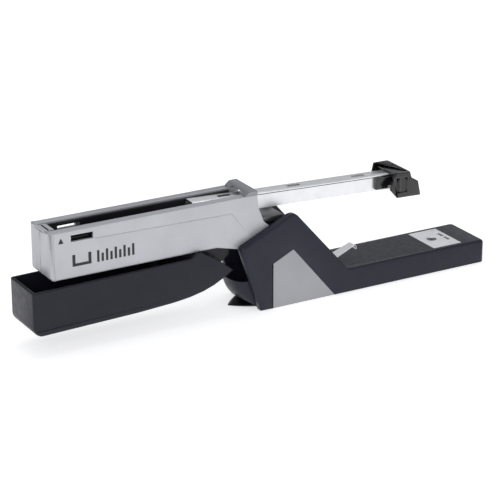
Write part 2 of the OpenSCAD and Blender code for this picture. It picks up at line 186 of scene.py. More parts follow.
class Nodes:
    """Adds shader nodes to one material and links them."""

    def __init__(self, name: str) -> None:
        """Makes an empty material with one principled shader.

        Args:
            name: The material's name.
        """
        self.material = bpy.data.materials.new(name)
        self.material.use_nodes = True
        self.tree = self.material.node_tree
        self.tree.nodes.clear()
        output = self.tree.nodes.new("ShaderNodeOutputMaterial")
        self.shader = self.tree.nodes.new("ShaderNodeBsdfPrincipled")
        self.tree.links.new(self.shader.outputs["BSDF"], output.inputs["Surface"])
        self.place = self.tree.nodes.new("ShaderNodeTexCoord").outputs["Object"]

    def set(self, socket: str, value: float | Sequence[float]) -> None:
        """Sets one of the shader's own sockets."""
        self.shader.inputs[socket].default_value = value

    def noise(self, kind: Noise, stretch: Sequence[float] | None = None) -> bpy.types.NodeSocket:
        """Smooth noise.

        Args:
            kind: Which noise.
            stretch: Scale of each axis, or None for even noise.

        Returns:
            The noise's value socket.
        """
        texture = self.tree.nodes.new("ShaderNodeTexNoise")
        texture.inputs["Scale"].default_value, texture.inputs["Detail"].default_value = kind.value
        vector = self.place
        if stretch:
            mapping = self.tree.nodes.new("ShaderNodeMapping")
            mapping.inputs["Scale"].default_value = stretch
            self.tree.links.new(self.place, mapping.inputs["Vector"])
            vector = mapping.outputs["Vector"]
        self.tree.links.new(vector, texture.inputs["Vector"])
        return texture.outputs["Fac"]

    def tint(
        self, value: bpy.types.NodeSocket, colour: Colour, dark: float, light: float
    ) -> None:
        """Colours the shader from a darker to a lighter shade of one colour.

        Args:
            value: Noise that picks the shade.
            colour: Linear colour.
            dark: Factor of the darkest shade.
            light: Factor of the lightest shade.
        """
        ramp = self.tree.nodes.new("ShaderNodeValToRGB")
        for stop, position, factor in zip(ramp.color_ramp.elements, NOISE_SPAN, (dark, light)):
            stop.position = position
            stop.color = (*(part * factor for part in colour), 1.0)
        self.tree.links.new(value, ramp.inputs["Fac"])
        self.tree.links.new(ramp.outputs["Color"], self.shader.inputs["Base Color"])

    def rough(self, value: bpy.types.NodeSocket, low: float, high: float) -> None:
        """Varies the shader's roughness.

        Args:
            value: Noise that picks the roughness.
            low: Least roughness.
            high: Greatest roughness.
        """
        spread = self.tree.nodes.new("ShaderNodeMapRange")
        limits = (*NOISE_SPAN, low, high)
        for socket, limit in zip(("From Min", "From Max", "To Min", "To Max"), limits):
            spread.inputs[socket].default_value = limit
        self.tree.links.new(value, spread.inputs["Value"])
        self.tree.links.new(spread.outputs["Result"], self.shader.inputs["Roughness"])

    def bumps(self, *layers: tuple[bpy.types.NodeSocket, float]) -> None:
        """Stacks bump layers on the shader.

        Args:
            layers: Each a height socket and its depth in millimetres.
        """
        target = self.shader
        for height, depth in reversed(layers):
            bump = self.tree.nodes.new("ShaderNodeBump")
            bump.inputs["Strength"].default_value = 1.0
            bump.inputs["Distance"].default_value = depth * MM
            self.tree.links.new(height, bump.inputs["Height"])
            self.tree.links.new(bump.outputs["Normal"], target.inputs["Normal"])
            target = bump


@dataclass(frozen=True)
class Plastic:
    """Moulded plastic with a fine spark-eroded grain and faint handling marks.

    Attributes:
        slot: The record's material slot.
        colour: Linear base colour.
        roughness: Middle roughness.
        grain: Depth of the moulded grain, in millimetres.
        gloss: Coat weight, for the glossier mouldings.
        shine: Specular level.
        swing: How far the roughness varies each way.
        coat_roughness: Roughness of the coat.
    """

    slot: str
    colour: Colour
    roughness: float = 0.42
    grain: float = 0.012
    gloss: float = 0.0
    shine: float = 0.32
    swing: float = 0.06
    coat_roughness: float = 0.12

    def build(self) -> bpy.types.Material:
        """Makes the plastic.

        Returns:
            Its material.
        """
        nodes = Nodes(self.slot)
        nodes.tint(nodes.noise(Noise.MOULDED_CLOUDS), self.colour, dark=0.9, light=1.1)
        handling = nodes.noise(Noise.MOULDED_HANDLING)
        nodes.rough(handling, self.roughness - self.swing, self.roughness + self.swing)
        grain = nodes.noise(Noise.MOULDED_GRAIN)
        ripple = nodes.noise(Noise.MOULDED_RIPPLE)
        nodes.bumps((grain, self.grain), (ripple, self.grain * 0.6))
        nodes.set("Coat Weight", self.gloss)
        nodes.set("Coat Roughness", self.coat_roughness)
        nodes.set("Specular IOR Level", self.shine)
        return nodes.material


@dataclass(frozen=True)
class SilverPaint:
    """Satin silver paint: fine metal flake under a thin clear layer, with soft wear.

    Attributes:
        slot: The record's material slot.
        colour: Linear base colour.
        flake: Depth of the flake's sparkle, in millimetres.
        ripple: Depth of the paint's soft ripple, in millimetres.
        metallic: How metallic the paint is.
        coat: Weight of the clear layer.
        coat_roughness: Roughness of the clear layer.
    """

    slot: str
    colour: Colour
    flake: float = 0.006
    ripple: float = 0.02
    metallic: float = 0.35
    coat: float = 0.12
    coat_roughness: float = 0.25

    def build(self) -> bpy.types.Material:
        """Makes the paint.

        Returns:
            Its material.
        """
        nodes = Nodes(self.slot)
        nodes.tint(nodes.noise(Noise.PAINT_CLOUDS), self.colour, dark=0.95, light=1.04)
        nodes.rough(nodes.noise(Noise.PAINT_HANDLING), low=0.34, high=0.46)
        flake = nodes.noise(Noise.PAINT_FLAKE)
        nodes.bumps((flake, self.flake), (nodes.noise(Noise.PAINT_RIPPLE), self.ripple))
        nodes.set("Metallic", self.metallic)
        nodes.set("Coat Weight", self.coat)
        nodes.set("Coat Roughness", self.coat_roughness)
        return nodes.material


@dataclass(frozen=True)
class Metal:
    """Bare or plated metal with rolling marks along one axis and faint smudges.

    Attributes:
        slot: The record's material slot.
        colour: Linear base colour.
        roughness: Middle roughness.
        brushed: The direction that the marks run.
        marks: Depth of the marks, in millimetres.
        uneven: Share by which the roughness varies.
    """

    slot: str
    colour: Colour
    roughness: float = 0.3
    brushed: Brushed = Brushed.ALONG
    marks: float = 0.006
    uneven: float = 0.25

    def build(self) -> bpy.types.Material:
        """Makes the metal.

        Returns:
            Its material.
        """
        nodes = Nodes(self.slot)
        stretch = self.brushed.value
        nodes.tint(nodes.noise(Noise.METAL_CLOUDS), self.colour, dark=0.93, light=1.0)
        swing = self.roughness * self.uneven
        smudges = nodes.noise(Noise.METAL_SMUDGES, stretch)
        nodes.rough(smudges, self.roughness - swing, self.roughness + swing)
        marks = nodes.noise(Noise.METAL_MARKS, stretch)
        nodes.bumps((marks, self.marks), (nodes.noise(Noise.METAL_RIPPLE), self.marks))
        nodes.set("Metallic", 1.0)
        return nodes.material


@dataclass(frozen=True)
class Rubber:
    """Matt black rubber with a dusty, pebbled skin.

    Attributes:
        slot: The record's material slot.
        colour: Linear base colour.
        pebbles: Depth of the pebbled skin, in millimetres.
    """

    slot: str
    colour: Colour
    pebbles: float = 0.05

    def build(self) -> bpy.types.Material:
        """Makes the rubber.

        Returns:
            Its material.
        """
        nodes = Nodes(self.slot)
        nodes.tint(nodes.noise(Noise.RUBBER_DUST), self.colour, dark=0.8, light=1.6)
        nodes.rough(nodes.noise(Noise.RUBBER_WEAR), low=0.7, high=0.9)
        nodes.bumps((nodes.noise(Noise.RUBBER_PEBBLES), self.pebbles))
        return nodes.material


@dataclass(frozen=True)
class Ink:
    """Printed black ink, slightly uneven.

    Attributes:
        slot: The material slot of the surface that is printed on.
        colour: Linear base colour.
        grain: Depth of the ink's grain, in millimetres.
    """

    slot: str
    colour: Colour
    grain: float = 0.004

    def build(self) -> bpy.types.Material:
        """Makes the ink.

        Returns:
            Its material.
        """
        nodes = Nodes("printed_" + self.slot)
        nodes.tint(nodes.noise(Noise.INK_CLOUDS), self.colour, dark=0.8, light=1.3)
        nodes.rough(nodes.noise(Noise.INK_WEAR), low=0.35, high=0.5)
        nodes.bumps((nodes.noise(Noise.INK_GRAIN), self.grain))
        return nodes.material


class Finish(Enum):
    """Every finish on the stapler."""

    BASE_BLACK = Plastic("base_black", (0.0145, 0.0145, 0.0265), 0.4, 0.01, 0.02, 0.26)
    PANEL_GREY = SilverPaint("panel_grey", (0.325, 0.325, 0.345))
    RUBBER_BLACK = Rubber("rubber_black", (0.012, 0.012, 0.013))
    HEEL_BLACK = Plastic("heel_black", (0.01, 0.01, 0.012), 0.2, 0.002, 0.6)
    PLATE_STEEL = Metal("plate_steel", (0.55, 0.55, 0.56), 0.36)
    ANVIL_STEEL = Metal("anvil_steel", (0.97, 0.97, 0.98), 0.42, Brushed.ACROSS, 0.002, 0.15)
    SPRING_STEEL = Metal("spring_steel", (0.9, 0.9, 0.92), 0.3, Brushed.ALONG, 0.0005, 0.1)
    DARK_STEEL = Metal("dark_steel", (0.2, 0.2, 0.21), 0.32)
    FASTENER_STEEL = Metal("fastener_steel", (0.66, 0.66, 0.67), 0.28)
    RAIL_CHROME = Metal("rail_chrome", (0.81, 0.81, 0.82), 0.36, Brushed.ALONG, 0.0003, 0.1)
    HEAD_SILVER = SilverPaint("head_silver", (0.465, 0.465, 0.495))
    COLLAR_GREY = SilverPaint("collar_grey", (0.27, 0.27, 0.3))
    CHANNEL_BLACK = Plastic("channel_black", (0.012, 0.012, 0.015), 0.35, 0.006)
    HANDLE_BLACK = Plastic("handle_black", (0.0085, 0.0085, 0.0165), 0.42, 0.01, 0.02, 0.28)
    INSERT_BLACK = Plastic("insert_black", (0.008, 0.008, 0.011), 0.4)
    CAP_BLACK = Plastic("cap_black", (0.006, 0.006, 0.007), 0.26, 0.006, 0.35, 0.5)
    PRINT_BLACK = Ink("head_silver", (0.008, 0.008, 0.009))


MATERIALS: dict[Finish, bpy.types.Material] = {}


def material_of(finish: Finish) -> bpy.types.Material:
    """The finish's material, made once."""
    if finish not in MATERIALS:
        MATERIALS[finish] = finish.value.build()
    return MATERIALS[finish]


# ---------------------------------------------------------------- mesh tools


@dataclass(frozen=True)
class EdgeSpot:
    """Where one hard edge of a mesh lies, in millimetres.

    Attributes:
        start: One end.
        end: The other end.
    """

    start: Vector
    end: Vector

    @property
    def middle(self) -> Vector:
        """The middle of the edge."""
        return (self.start + self.end) / 2

    def along(self, axis: int) -> bool:
        """True if the edge runs along one axis."""
        run = self.end - self.start
        return run.length > 0 and abs(run[axis]) > 0.9 * run.length

    def beyond(self, axis: int, value: float) -> bool:
        """True if both ends lie past a value, on either side of zero."""
        return abs(self.start[axis]) >= value and abs(self.end[axis]) >= value


RadiusRule = Callable[[EdgeSpot], float]


def node_mesh(source: bpy.types.Object) -> bmesh.types.BMesh:
    """A CAD node's shape as a mesh of its own, with flat faces joined.

    Args:
        source: The CAD node's object.

    Returns:
        A new mesh, in metres.
    """
    mesh = bmesh.new()
    mesh.from_mesh(source.data)
    bmesh.ops.remove_doubles(mesh, verts=mesh.verts, dist=WELD)
    bmesh.ops.dissolve_limit(
        mesh,
        angle_limit=FLAT,
        use_dissolve_boundaries=False,
        verts=mesh.verts,
        edges=mesh.edges,
    )
    bmesh.ops.recalc_face_normals(mesh, faces=mesh.faces)
    return mesh


def slab(outline: Sequence[Point2], y0: float, y1: float) -> bmesh.types.BMesh:
    """A solid with one outline from side to side.

    Args:
        outline: Its outline as [x, z] points, in millimetres.
        y0: Where it starts.
        y1: Where it ends.

    Returns:
        A new mesh, in metres.
    """
    mesh = bmesh.new()
    rings = [[mesh.verts.new((x * MM, y * MM, z * MM)) for x, z in outline] for y in (y0, y1)]
    mesh.faces.new(rings[0])
    mesh.faces.new(rings[1][::-1])
    for i in range(len(outline)):
        j = (i + 1) % len(outline)
        mesh.faces.new((rings[0][i], rings[1][i], rings[1][j], rings[0][j]))
    bmesh.ops.recalc_face_normals(mesh, faces=mesh.faces)
    return mesh


def tube(rings: Sequence[Sequence[Vector]]) -> bmesh.types.BMesh:
    """A skin through rings of points, capped at both ends.

    Args:
        rings: Rings with the same number of points, in millimetres.

    Returns:
        A new mesh, in metres.
    """
    mesh = bmesh.new()
    made = [[mesh.verts.new(point * MM) for point in ring] for ring in rings]
    for first, second in zip(made, made[1:]):
        for i in range(len(first)):
            j = (i + 1) % len(first)
            mesh.faces.new((first[i], first[j], second[j], second[i]))
    mesh.faces.new(made[0][::-1])
    mesh.faces.new(made[-1])
    bmesh.ops.recalc_face_normals(mesh, faces=mesh.faces)
    return mesh


def turned(profile: Sequence[Point2], matrix: Matrix, count: int = 32) -> bmesh.types.BMesh:
    """A turned part.

    Args:
        profile: Points of radius and height, from bottom to top, in millimetres.
        matrix: Where its axis goes, in millimetres.
        count: Points round the part.

    Returns:
        A new mesh, in metres.
    """
    angles = [2 * math.pi * i / count for i in range(count)]
    return tube(
        [
            [matrix @ Vector((radius * math.cos(a), radius * math.sin(a), height)) for a in angles]
            for radius, height in profile
        ]
    )


def coil(
    matrix: Matrix,
    radius: float,
    wire: float,
    turns: float,
    length: float,
    steps_per_turn: int = 14,
    sides: int = 7,
) -> bmesh.types.BMesh:
    """A coil spring along a matrix's Z axis.

    Args:
        matrix: Where the spring starts, in millimetres.
        radius: Radius to the middle of the wire.
        wire: Wire diameter.
        turns: Number of turns.
        length: Length of the spring.
        steps_per_turn: Steps along the wire in each turn.
        sides: Points round the wire.

    Returns:
        A new mesh, in metres.
    """
    steps = int(turns * steps_per_turn)
    up = Vector((0, 0, 1))
    rings = []
    for i in range(steps + 1):
        share = i / steps
        angle = 2 * math.pi * turns * share
        out = Vector((math.cos(angle), math.sin(angle), 0))
        rise = wire / 2 + (length - wire) * share
        centre = out * radius + up * rise
        ring = []
        for k in range(sides):
            turn = 2 * math.pi * k / sides
            offset = out * math.cos(turn) + up * math.sin(turn)
            ring.append(matrix @ (centre + offset * wire / 2))
        rings.append(ring)
    return tube(rings)


def with_squares(line: Sequence[Point2]) -> Iterator[tuple[float, float, Vector]]:
    """Walks along a line on the XZ plane.

    Args:
        line: The line as [x, z] points.

    Yields:
        Each point's x and z, and the unit vector square to the line there.
    """
    for i, (x, z) in enumerate(line):
        before = Vector(line[max(i - 1, 0)])
        after = Vector(line[min(i + 1, len(line) - 1)])
        run = (after - before).normalized()
        yield x, z, Vector((-run.y, 0, run.x))


def strip(
    line: Sequence[Point2], thickness: float, half_width: Callable[[float], float]
) -> bmesh.types.BMesh:
    """A bent sheet strip.

    Args:
        line: The middle line as [x, z] points.
        thickness: Sheet thickness.
        half_width: Half width at each x.

    Returns:
        A new mesh, in metres.
    """
    rings = []
    for x, z, square in with_squares(line):
        normal = square * thickness / 2
        middle = Vector((x, 0, z))
        across = Vector((0, half_width(x), 0))
        rings.append(
            [
                middle + normal - across,
                middle + normal + across,
                middle - normal + across,
                middle - normal - across,
            ]
        )
    return tube(rings)


def groove(
    path: Sequence[Point2], surface: float, width: float, depth: float, past: float = 0.5
) -> bmesh.types.BMesh:
    """A cutter that leaves a V groove along a path on a side face.

    Args:
        path: The groove's middle line as [x, z] points.
        surface: The side face's Y, with its sign.
        width: Width of the groove.
        depth: Depth of the groove.
        past: How far the cutter runs past the side face.

    Returns:
        A new mesh, in metres.
    """
    sign = 1 if surface > 0 else -1
    out = Vector((0, sign * past, 0))
    rings = []
    for x, z, square in with_squares(path):
        aside = square * width / 2
        middle = Vector((x, surface, z))
        rings.append(
            [
                middle + aside,
                middle + aside + out,
                middle - aside + out,
                middle - aside,
                middle - Vector((0, sign * depth, 0)),
            ]
        )
    return tube(rings)


def box_mesh(low: Vector, high: Vector) -> bmesh.types.BMesh:
    """A plain cutter from corner to corner, in millimetres."""
    outline = [(low.x, low.z), (high.x, low.z), (high.x, high.z), (low.x, high.z)]
    return slab(outline, low.y, high.y)


def new_object(mesh: bmesh.types.BMesh, name: str) -> bpy.types.Object:
    """Puts a mesh into the scene.

    Args:
        mesh: The mesh; it is used up.
        name: The object's name.

    Returns:
        A new object.
    """
    data = bpy.data.meshes.new(name)
    mesh.to_mesh(data)
    mesh.free()
    made = bpy.data.objects.new(name, data)
    bpy.context.scene.collection.objects.link(made)
    return made


def cut(mesh: bmesh.types.BMesh, cutters: Sequence[bmesh.types.BMesh]) -> bmesh.types.BMesh:
    """Cuts shapes out of a mesh.

    Args:
        mesh: The mesh to cut; it is used up.
        cutters: What is taken away; they are used up.

    Returns:
        The cut mesh.
    """
    target = new_object(mesh, "blank")
    for cutter in cutters:
        tool = new_object(cutter, "cutter")
        change = target.modifiers.new("cut", "BOOLEAN")
        change.operation = "DIFFERENCE"
        change.solver = "EXACT"
        change.object = tool
        graph = bpy.context.evaluated_depsgraph_get()
        result = bpy.data.meshes.new_from_object(target.evaluated_get(graph))
        target.modifiers.clear()
        target.data = result
        bpy.data.objects.remove(tool)
    made = bmesh.new()
    made.from_mesh(target.data)
    bpy.data.objects.remove(target)
    bmesh.ops.remove_doubles(made, verts=made.verts, dist=WELD)
    return made


def joined(parts: Sequence[bmesh.types.BMesh]) -> bmesh.types.BMesh:
    """Joins meshes into one.

    Args:
        parts: The meshes; they are used up.

    Returns:
        A new mesh.
    """
    whole = bmesh.new()
    for part in parts:
        data = bpy.data.meshes.new("part")
        part.to_mesh(data)
        part.free()
        whole.from_mesh(data)
        bpy.data.meshes.remove(data)
    return whole


def arc(centre: Point2, radius: float, start: float, end: float, count: int = 8) -> list[Point2]:
    """Points of an arc, with angles in degrees."""
    turns = [math.radians(start + (end - start) * i / count) for i in range(count + 1)]
    return [(centre[0] + radius * math.cos(t), centre[1] + radius * math.sin(t)) for t in turns]


def round_edges(mesh: bmesh.types.BMesh, rule: RadiusRule) -> float:
    """Weighs each hard edge by the radius that it should have.

    Args:
        mesh: The mesh, in metres.
        rule: Gives an edge's radius in millimetres.

    Returns:
        The largest radius, in millimetres.
    """
    layer = mesh.edges.layers.float.get("bevel_weight_edge")
    if layer is None:
        layer = mesh.edges.layers.float.new("bevel_weight_edge")
    radii: dict[int, float] = {}
    mesh.edges.index_update()
    for edge in mesh.edges:
        hard = len(edge.link_faces) == 2 and edge.calc_face_angle(0.0) > SHARP
        if not hard:
            continue
        spot = EdgeSpot(edge.verts[0].co / MM, edge.verts[1].co / MM)
        radii[edge.index] = rule(spot)
    largest = max(radii.values(), default=0.0)
    for edge in mesh.edges:
        radius = radii.get(edge.index, 0.0)
        edge[layer] = radius / largest if largest else 0.0
        edge.smooth = radius > 0 or edge.calc_face_angle(0.0) <= SHARP
    return largest


@dataclass
class PieceMaker:
    """Turns a mesh into a finished piece that rides on its body.

    Attributes:
        nodes: The CAD nodes' objects, by name.
        made: Names of the pieces made so far.
    """

    nodes: dict[str, bpy.types.Object]
    made: list[str] = field(default_factory=list)

    def make(
        self, name: str, mesh: bmesh.types.BMesh, finish: Finish, nodes: Sequence[str] = ()
    ) -> bpy.types.Object:
        """Makes a piece that nothing moves yet.

        Args:
            name: The piece's name.
            mesh: Its mesh, in metres; it is used up.
            finish: Its finish.
            nodes: CAD nodes that it stands for.

        Returns:
            The piece.
        """
        piece = new_object(mesh, name)
        piece.data.materials.append(material_of(finish))
        if nodes:
            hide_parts(*nodes)
        self.made.append(name)
        return piece

    def finish(
        self,
        name: str,
        mesh: bmesh.types.BMesh,
        body: Body,
        finish: Finish,
        nodes: Sequence[str] = (),
        rule: RadiusRule | None = None,
        segments: int = 3,
        slide: bool = True,
    ) -> bpy.types.Object:
        """Makes a piece with rounded edges that rides on a body.

        Args:
            name: The piece's name.
            mesh: Its mesh, in metres; it is used up.
            body: The body that it rides on.
            finish: Its finish.
            nodes: CAD nodes that it stands for.
            rule: Gives each hard edge its radius; None leaves the edges as they are.
            segments: Steps across each rounded edge.
            slide: Lets a rounded corner slide along the edges that stay sharp.

        Returns:
            The piece.
        """
        largest = round_edges(mesh, rule) if rule else 0.0
        for face in mesh.faces:
            face.smooth = True
        piece = self.make(name, mesh, finish, nodes)
        if not rule:
            piece.data.set_sharp_from_angle(angle=CREASE)
        if largest > 0:
            change = piece.modifiers.new("rounded_edges", "BEVEL")
            change.limit_method = "WEIGHT"
            change.width = largest * MM
            change.segments = segments
            change.use_clamp_overlap = False
            change.harden_normals = True
            change.loop_slide = slide
        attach(piece, body.value)
        LOG.info("%s rides on %s", name, body.value)
        return piece

    def from_node(
        self,
        node: str,
        body: Body,
        finish: Finish,
        radius: float | RadiusRule = 0.2,
        cutters: Sequence[bmesh.types.BMesh] = (),
        segments: int = 2,
        slide: bool = True,
    ) -> bpy.types.Object:
        """A piece with a CAD node's shape, rounded edges and extra cuts.

        Args:
            node: The CAD node; the piece has its name with _skin added.
            body: The body that it rides on.
            finish: Its finish.
            radius: One radius for all outer edges, or a rule.
            cutters: Shapes taken out of it before the edges are rounded.
            segments: Steps across each rounded edge.
            slide: Lets a rounded corner slide along the edges that stay sharp.

        Returns:
            The piece.
        """
        mesh = node_mesh(self.nodes[node])
        if cutters:
            mesh = cut(mesh, cutters)
        rule = radius if callable(radius) else (lambda spot, r=radius: r)
        return self.finish(node + "_skin", mesh, body, finish, [node], rule, segments, slide)


# ---------------------------------------------------------------- boxes and screws


@dataclass(frozen=True)
class Box:
    """A CAD node's box at rest, in millimetres.

    Attributes:
        x0: Its least x.
        y0: Its least y.
        z0: Its least z.
        x1: Its greatest x.
        y1: Its greatest y.
        z1: Its greatest z.
    """

    x0: float
    y0: float
    z0: float
    x1: float
    y1: float
    z1: float

    @classmethod
    def of(cls, node: str) -> Box:
        """The box of one CAD node."""
        return cls(*(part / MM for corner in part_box(node) for part in corner))

    @property
    def near(self) -> float:
        """Distance from mid-width to the side that lies nearer."""
        return min(abs(self.y0), abs(self.y1))

    @property
    def far(self) -> float:
        """Distance from mid-width to the side that lies further."""
        return max(abs(self.y0), abs(self.y1))

    @property
    def middle(self) -> Vector:
        """The box's centre."""
        return Vector((self.x0 + self.x1, self.y0 + self.y1, self.z0 + self.z1)) / 2


@dataclass(frozen=True)
class Screw:
    """A screw with a rounded head and a cross recess.

    Attributes:
        head_radius: Radius of the head.
        head_height: Height of the head.
        shank_radius: Radius of the shank.
        shank_length: Length of the shank.
        wing: Reach of the recess, as a share of the head's radius.
        arm: Half width of the recess, as a share of the head's radius.
        taper: Size of the recess at its bottom, as a share of its top.
        depth: Depth of the recess, as a share of the head's height.
        turn: How far the recess is turned, in degrees.
    """

    head_radius: float
    head_height: float
    shank_radius: float
    shank_length: float
    wing: float = 0.6
    arm: float = 0.14
    taper: float = 0.6
    depth: float = 0.62
    turn: float = 20.0

    def build(self, matrix: Matrix) -> bmesh.types.BMesh:
        """Makes the screw.

        Args:
            matrix: Where it goes: the top of its head at the origin, its shank along -Z.

        Returns:
            A new mesh, in metres.
        """
        under = -self.head_height
        profile = [
            (self.shank_radius * 0.4, under - self.shank_length),
            (self.shank_radius, under - self.shank_length + 0.8),
            (self.shank_radius, under),
            (self.head_radius * 0.97, under),
            (self.head_radius, under + 0.15),
            (self.head_radius, -0.35),
            (self.head_radius * 0.93, -0.12),
            (self.head_radius * 0.75, 0.0),
        ]
        wing = self.head_radius * self.wing
        arm = self.head_radius * self.arm
        corners = [(-wing, -arm), (wing, -arm), (wing, arm), (-wing, arm)]
        bottom = under * self.depth
        cutters = []
        for quarter in (0, 90):
            spin = matrix @ Matrix.Rotation(math.radians(quarter + self.turn), 4, "Z")
            low = [spin @ Vector((x * self.taper, y * self.taper, bottom)) for x, y in corners]
            high = [spin @ Vector((x, y, 0.3)) for x, y in corners]
            cutters.append(tube([low, high]))
        return cut(turned(profile, matrix, 40), cutters)


# ---------------------------------------------------------------- base


@dataclass
class Frame:
    """The base's frame, and the grey panels set into its sides.

    Attributes:
        maker: Makes the pieces.
        edge: Radius of the outer edges.
        wall_edge: Radius of the side walls' inner edges.
        rim_edge: Radius of the edges along the floor.
        recess_edge: Radius of the edges round a panel.
        panel_edge: Radius of a panel's own edges.
        recess_room: How far outside a panel its recess's edges may lie.
        rim_top: Height of the rim along the floor.
        front_rim_top: Height of the rim at the front.
        corner_reach: Length and width of a rounded corner at the front.
        slope_start: A point just under the front slope of the side walls.
        slope_fall: Fall of that slope for each unit of length.
        slope_from: Where the slope starts along the base.
        wall_inside: Least and greatest distance of a wall's inner edges from its outside.
        deck_top: Height that a wall's inner edges lie above.
    """

    maker: PieceMaker
    edge: float = 2.4
    wall_edge: float = 0.9
    rim_edge: float = 0.35
    recess_edge: float = 0.2
    panel_edge: float = 0.3
    recess_room: float = 0.3
    rim_top: float = 1.3
    front_rim_top: float = 5.0
    corner_reach: Point2 = (4.5, 4.1)
    slope_start: Point2 = (12.0, 46.5)
    slope_fall: float = 0.84
    slope_from: float = 15.0
    wall_inside: Point2 = (6.0, 7.0)
    deck_top: float = 19.0

    def build(self) -> None:
        """Makes the frame and both panels."""
        frame = Box.of("base_frame")
        panel = Box.of("side_panel_right")
        room = self.recess_room
        slope_x, slope_z = self.slope_start
        inside_least, inside_most = self.wall_inside

        def rule(spot: EdgeSpot) -> float:
            """Radius of one edge of the frame.

            Args:
                spot: The edge.

            Returns:
                The radius, or 0 for an edge that stays sharp.
            """
            x, y, z = spot.middle
            by_corner = spot.beyond(1, frame.y1 - self.corner_reach[1])
            if (by_corner and x > frame.x1 - self.corner_reach[0]) or x > frame.x1 - AT_END:
                return self.edge if z > self.front_rim_top else self.rim_edge
            if spot.beyond(1, frame.y1 - NEAR):
                if z < self.rim_top:
                    return self.rim_edge
                by_panel = panel.x0 - room < x < panel.x1 + room and z < panel.z1 + room
                on_slope = z > slope_z - self.slope_fall * (x - slope_x) and x > self.slope_from
                runs = abs(spot.start.x - spot.end.x) > 0
                return self.recess_edge if by_panel and runs and not on_slope else self.edge
            in_wall = spot.beyond(1, frame.y1 - inside_most) and abs(y) < frame.y1 - inside_least
            return self.wall_edge if in_wall and z > self.deck_top else 0.0

        self.maker.from_node(
            "base_frame", Body.BASE, Finish.BASE_BLACK, rule, segments=4, slide=False
        )
        for side in Side:
            self.maker.from_node(
                f"side_panel_{side.label}", Body.BASE, Finish.PANEL_GREY, self.panel_edge,
                segments=3,
            )


@dataclass
class RearCover:
    """The bulging apron at the rear, a smooth shell between the side walls.

    Attributes:
        maker: Makes the piece.
        wall_foot: Where the side walls' rear edge meets the floor.
        wall_lean: How far that edge leans back for each unit of height.
        profile: The cover's rear line at mid-width, from top to bottom.
        thickness: Thickness of the shell.
        lift: How far its inside lies higher, as a share of the thickness.
        fullness: Exponents that round the bulge from side to side.
        steps: Steps from side to side.
    """

    maker: PieceMaker
    wall_foot: float = -8.7
    wall_lean: float = 0.33
    profile: tuple[Point2, ...] = (
        (-25.9, 23.3), (-25.2, 20.0), (-24.2, 16.6), (-22.6, 13.2), (-20.6, 9.9),
        (-18.0, 6.9), (-14.6, 4.6), (-11.2, 3.3), (-8.6, 2.8),
    )
    thickness: float = 1.8
    lift: float = 0.55
    fullness: Point2 = (2.6, 0.55)
    steps: int = 28

    def build(self) -> None:
        """Makes the cover."""
        box = Box.of("rear_cover")
        rings = []
        for i in range(self.steps + 1):
            y = -box.y1 + 2 * box.y1 * i / self.steps
            bulge = (1 - (abs(y) / box.y1) ** self.fullness[0]) ** self.fullness[1]
            outer = []
            inner = []
            for x, z in self.profile:
                beside = self.wall_foot - self.wall_lean * z
                outside = max(beside + (x - beside) * bulge, box.x0)
                inside = min(outside + self.thickness, box.x1)
                outer.append(Vector((outside, y, z)))
                inner.append(Vector((inside, y, z + self.thickness * self.lift)))
            inner[0].z = outer[0].z
            rings.append(outer + inner[::-1])
        self.maker.finish(
            "rear_cover_skin", tube(rings), Body.BASE, Finish.BASE_BLACK, ["rear_cover"]
        )


@dataclass
class HeelFoot:
    """The glossy tongue that steadies the base at the rear.

    Attributes:
        maker: Makes the piece.
        narrows_from: Where it starts to narrow towards its tip.
        crowding: Exponent that crowds the steps towards the tip.
        plan: Exponents that round its outline.
        thinning: Share of its thickness that is lost at the tip.
        section: Exponents that square its section, across and upright.
        steps: Steps along it.
        sides: Points round it.
    """

    maker: PieceMaker
    narrows_from: float = -7.5
    crowding: float = 1.6
    plan: Point2 = (1.25, 0.85)
    thinning: float = 0.6
    section: Point2 = (0.45, 0.6)
    steps: int = 32
    sides: int = 24

    def build(self) -> None:
        """Makes the foot."""
        box = Box.of("heel_foot")
        rings = []
        for i in range(self.steps + 1):
            x = box.x0 + (box.x1 - box.x0) * (i / self.steps) ** self.crowding
            share = (self.narrows_from - x) / (self.narrows_from - box.x0)
            taper = min(max(share, 0.0), 0.9999)
            width = box.y1 * (1 - taper ** self.plan[0]) ** self.plan[1]
            rise = box.z1 * (1 - self.thinning * taper)
            ring = []
            for k in range(self.sides):
                turn = 2 * math.pi * k / self.sides
                across, up = (
                    math.copysign(abs(part) ** power, part)
                    for part, power in zip((math.cos(turn), math.sin(turn)), self.section)
                )
                ring.append(Vector((x, width * across, rise * (up + 1) / 2)))
            rings.append(ring)
        self.maker.finish(
            "heel_foot_skin", tube(rings), Body.BASE, Finish.HEEL_BLACK, ["heel_foot"]
        )


